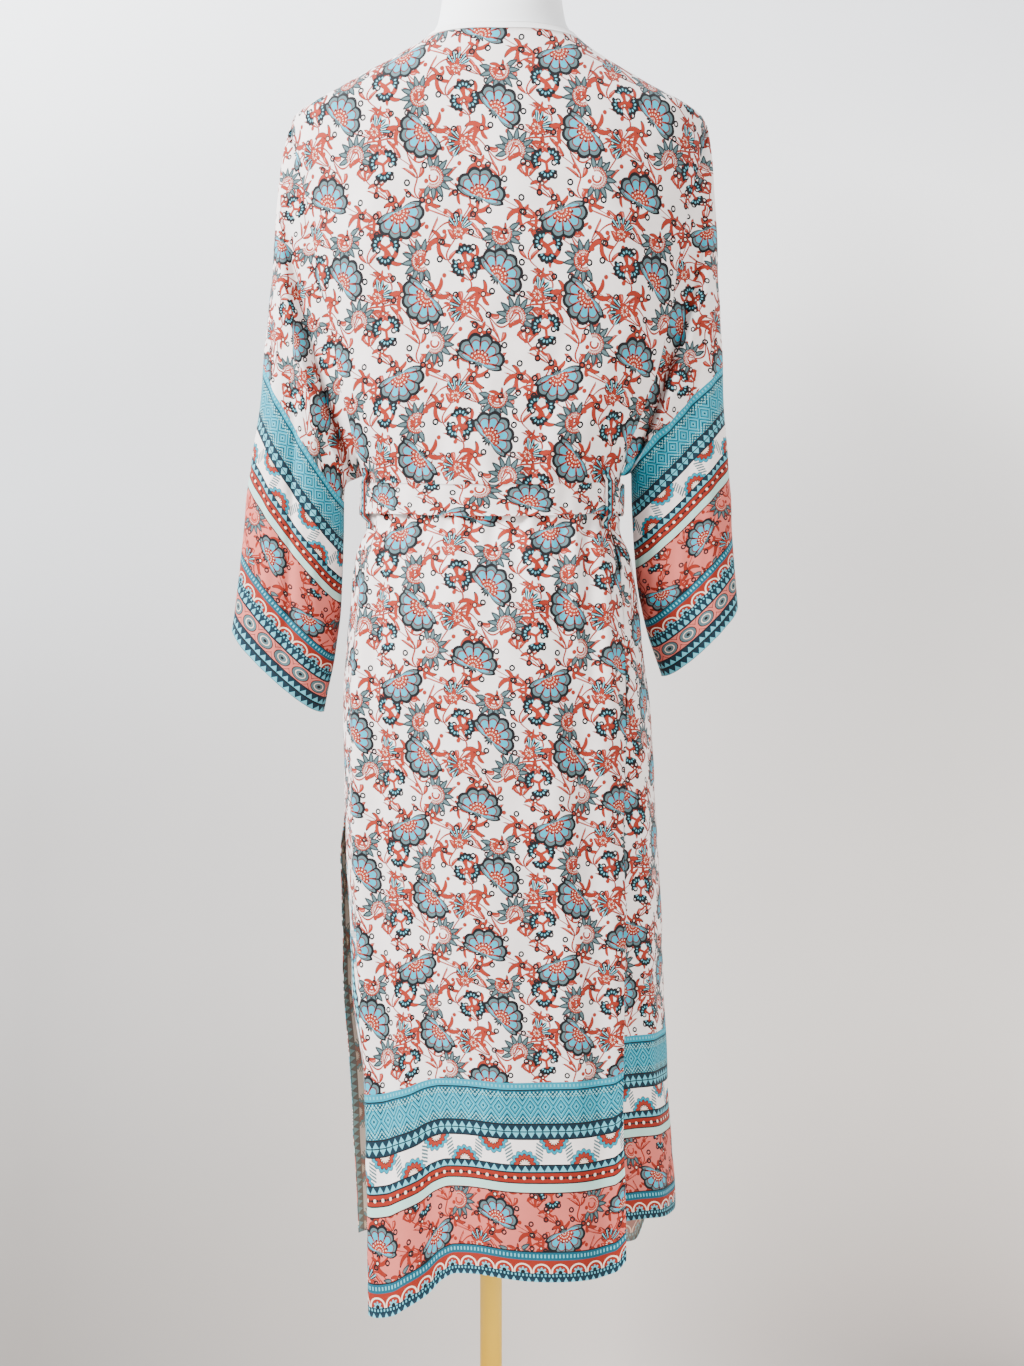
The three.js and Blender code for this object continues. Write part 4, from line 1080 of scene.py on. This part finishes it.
def neckband():
    top = 1458 - NECKBAND_WIDTH
    stations = []

    def on_front(left, z):
        edge = front_edge["left" if left else "right"](z)
        out = left_front_out if left else right_front_out
        turn = math.pi / 2 * ease(z, top - 34, top)
        step = np.degrees(NECKBAND_WIDTH / (ring["front"](z) * 0.9))
        row = []
        for w in np.linspace(SEAM + 0.4, NECKBAND_WIDTH + 1, 5):
            angle = edge + (1 if left else -1) * step * (w / NECKBAND_WIDTH) * np.cos(turn)
            height = z + w * np.sin(turn)
            row.append(body_point(angle, height, out(angle, height) + 0.3))
        return row

    hem_left = track(LEFT_FRONT_HEM["angle"], LEFT_FRONT_HEM["z"])(328)
    hem_right = track(RIGHT_FRONT_HEM["angle"], RIGHT_FRONT_HEM["z"])(229)
    for t in np.linspace(0, 1, 200):
        stations.append(on_front(True, mix(hem_left, top, t)))
    for t in np.linspace(0.005, 0.995, 140):
        angle = mix(front_edge["left"](top) - 2, front_edge["right"](top) - 358, t)
        base = neck_height(angle) - NECKBAND_WIDTH
        stations.append([body_point(angle, base + w, 0.3) for w in np.linspace(SEAM, NECKBAND_WIDTH, 5)])
    for t in np.linspace(1, 0, 200):
        stations.append(on_front(False, mix(hem_right, top, t)))
    grid = np.array(stations)
    uv = np.zeros(grid.shape[:2] + (2,))
    obj = shell("neckband_cloth", "neckband", grid, uv, wall=1.3, materials=("plain_cloth", "plain_cloth"))


def turned(node, profile, sides=72):
    """A round painted piece of the stand from (radius, height) steps, in mm."""
    points, faces = [], []
    for radius, z in profile:
        for k in range(sides):
            a = 2 * math.pi * k / sides
            points.append((radius * math.cos(a) / 1000, radius * math.sin(a) / 1000, z / 1000))
    for i in range(len(profile) - 1):
        for k in range(sides):
            n = (k + 1) % sides
            faces.append((i * sides + k, i * sides + n, (i + 1) * sides + n, (i + 1) * sides + k))
    faces.append(tuple(range(sides))[::-1])
    faces.append(tuple((len(profile) - 1) * sides + k for k in range(sides)))
    mesh = bpy.data.meshes.new(f"{node}_paint")
    mesh.from_pydata(points, [], faces)
    mesh.polygons.foreach_set("use_smooth", [True] * (len(faces) - 2) + [False] * 2)
    mesh.materials.append(bpy.data.materials["pole_paint"])
    mesh.update()
    obj = bpy.data.objects.new(f"{node}_paint", mesh)
    bpy.context.scene.collection.objects.link(obj)
    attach(obj, "root")
    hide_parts(node)


def dress_form():
    inset_z = [1474, 1440, 1410, 1375, 1340, 1300, 1200, 1100, 1050, 1000, 950, 850, 740]
    inset_side = track(inset_z, [2, 4, 6, 14, 24, 36, 40, 32, 17, 11, 12, 13, 20])
    inset_depth = track(inset_z, [1.5, 1.8, 2.2, 4, 5, 7, 7, 6, 6, 6, 10, 14, 20])
    angle = np.arange(96) / 96 * 360
    heights = np.concatenate([np.linspace(742, 1380, 60), np.linspace(1385, 1460, 30)])
    rings = [body_point(angle, z, -0.2, inset_side(z), inset_depth(z)) for z in heights]
    a = np.radians(angle)
    for z, y, radius in NECK_RINGS:
        ring_z = np.full_like(a, z)
        rings.append(np.stack([NECK_X + radius * np.cos(a), y - radius * np.sin(a), ring_z], axis=-1))
    points = np.concatenate(rings) / 1000
    count = len(angle)
    faces = []
    for i in range(len(rings) - 1):
        for k in range(count):
            n = (k + 1) % count
            faces.append((i * count + k, (i + 1) * count + k, (i + 1) * count + n, i * count + n))
    faces.append(tuple(range(count)))
    faces.append(tuple((len(rings) - 1) * count + k for k in range(count))[::-1])
    mesh = bpy.data.meshes.new("form_torso_cover")
    mesh.from_pydata(points.tolist(), [], faces)
    mesh.polygons.foreach_set("use_smooth", [True] * len(faces))
    mesh.materials.append(bpy.data.materials["form_cover"])
    mesh.update()
    obj = bpy.data.objects.new("form_torso_cover", mesh)
    bpy.context.scene.collection.objects.link(obj)
    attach(obj, "root")
    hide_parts("form_torso")


robe()
SLEEVES = (
    ("left", LEFT_SLEEVE, -1, LEFT_SLEEVE_CREASES, (1.03, 1.33)),
    ("right", RIGHT_SLEEVE, 1, RIGHT_SLEEVE_CREASES, (1.19, 1.26)),
)
for name, table, mirror, creases, border_stretch in SLEEVES:
    grid, uv, front = sleeve(table, mirror, creases, border_stretch)
    piece = shell(f"sleeve_{name}_cloth", f"sleeve_{name}", grid, uv, closed=True, strip=front)
belt_pieces()
knot()
neckband()
dress_form()
turned("form_pole", [(11, 14.3), (11, 729.7)])
turned("form_collar", [(26, 730), (27, 731), (27, 741), (26, 741.7)])
turned("form_foot", [(154, 0), (155, 1), (155, 11), (152, 14), (11.2, 14)], sides=96)

# Backdrop, floor, lights and camera
bpy.ops.mesh.primitive_plane_add(size=8, location=(0, 0.39, 2.0), rotation=(math.pi / 2, 0, 0))
backdrop = bpy.context.object
backdrop.name = "backdrop"
bpy.ops.mesh.primitive_plane_add(size=8, location=(0, 0, -0.0005))
floor = bpy.context.object
floor.name = "floor"
for obj in (backdrop, floor):
    obj.data.materials.append(bpy.data.materials["wall"])


def area_light(name, location, target, size, power, colour):
    light = bpy.data.lights.new(name, "AREA")
    light.shape = "RECTANGLE"
    light.size, light.size_y = size
    light.energy = power
    light.color = colour
    obj = bpy.data.objects.new(name, light)
    obj.location = location
    obj.rotation_euler = (Vector(target) - Vector(location)).to_track_quat("-Z", "Y").to_euler()
    bpy.context.scene.collection.objects.link(obj)


area_light("window", (-2.2, -1.5, 2.7), (0, 0, 1.1), (1.2, 1.2), 400, (0.96, 0.98, 1.0))
area_light("room", (2.0, -2.6, 1.2), (0, 0, 0.8), (2.0, 2.0), 60, (1.0, 0.97, 0.94))
world = bpy.data.worlds.new("room_light")
world.use_nodes = True
world.node_tree.nodes["Background"].inputs[0].default_value = (0.93, 0.96, 1.0, 1)
world.node_tree.nodes["Background"].inputs[1].default_value = 0.9
bpy.context.scene.world = world

lens = bpy.data.cameras.new("camera")
lens.sensor_width = 36
lens.lens = 36 * 2.0 / 1.366
camera = bpy.data.objects.new("camera", lens)
camera.location = (0.021, -2.0, 0.817)
camera.rotation_euler = (math.pi / 2, 0, 0)
bpy.context.scene.collection.objects.link(camera)
bpy.context.scene.camera = camera
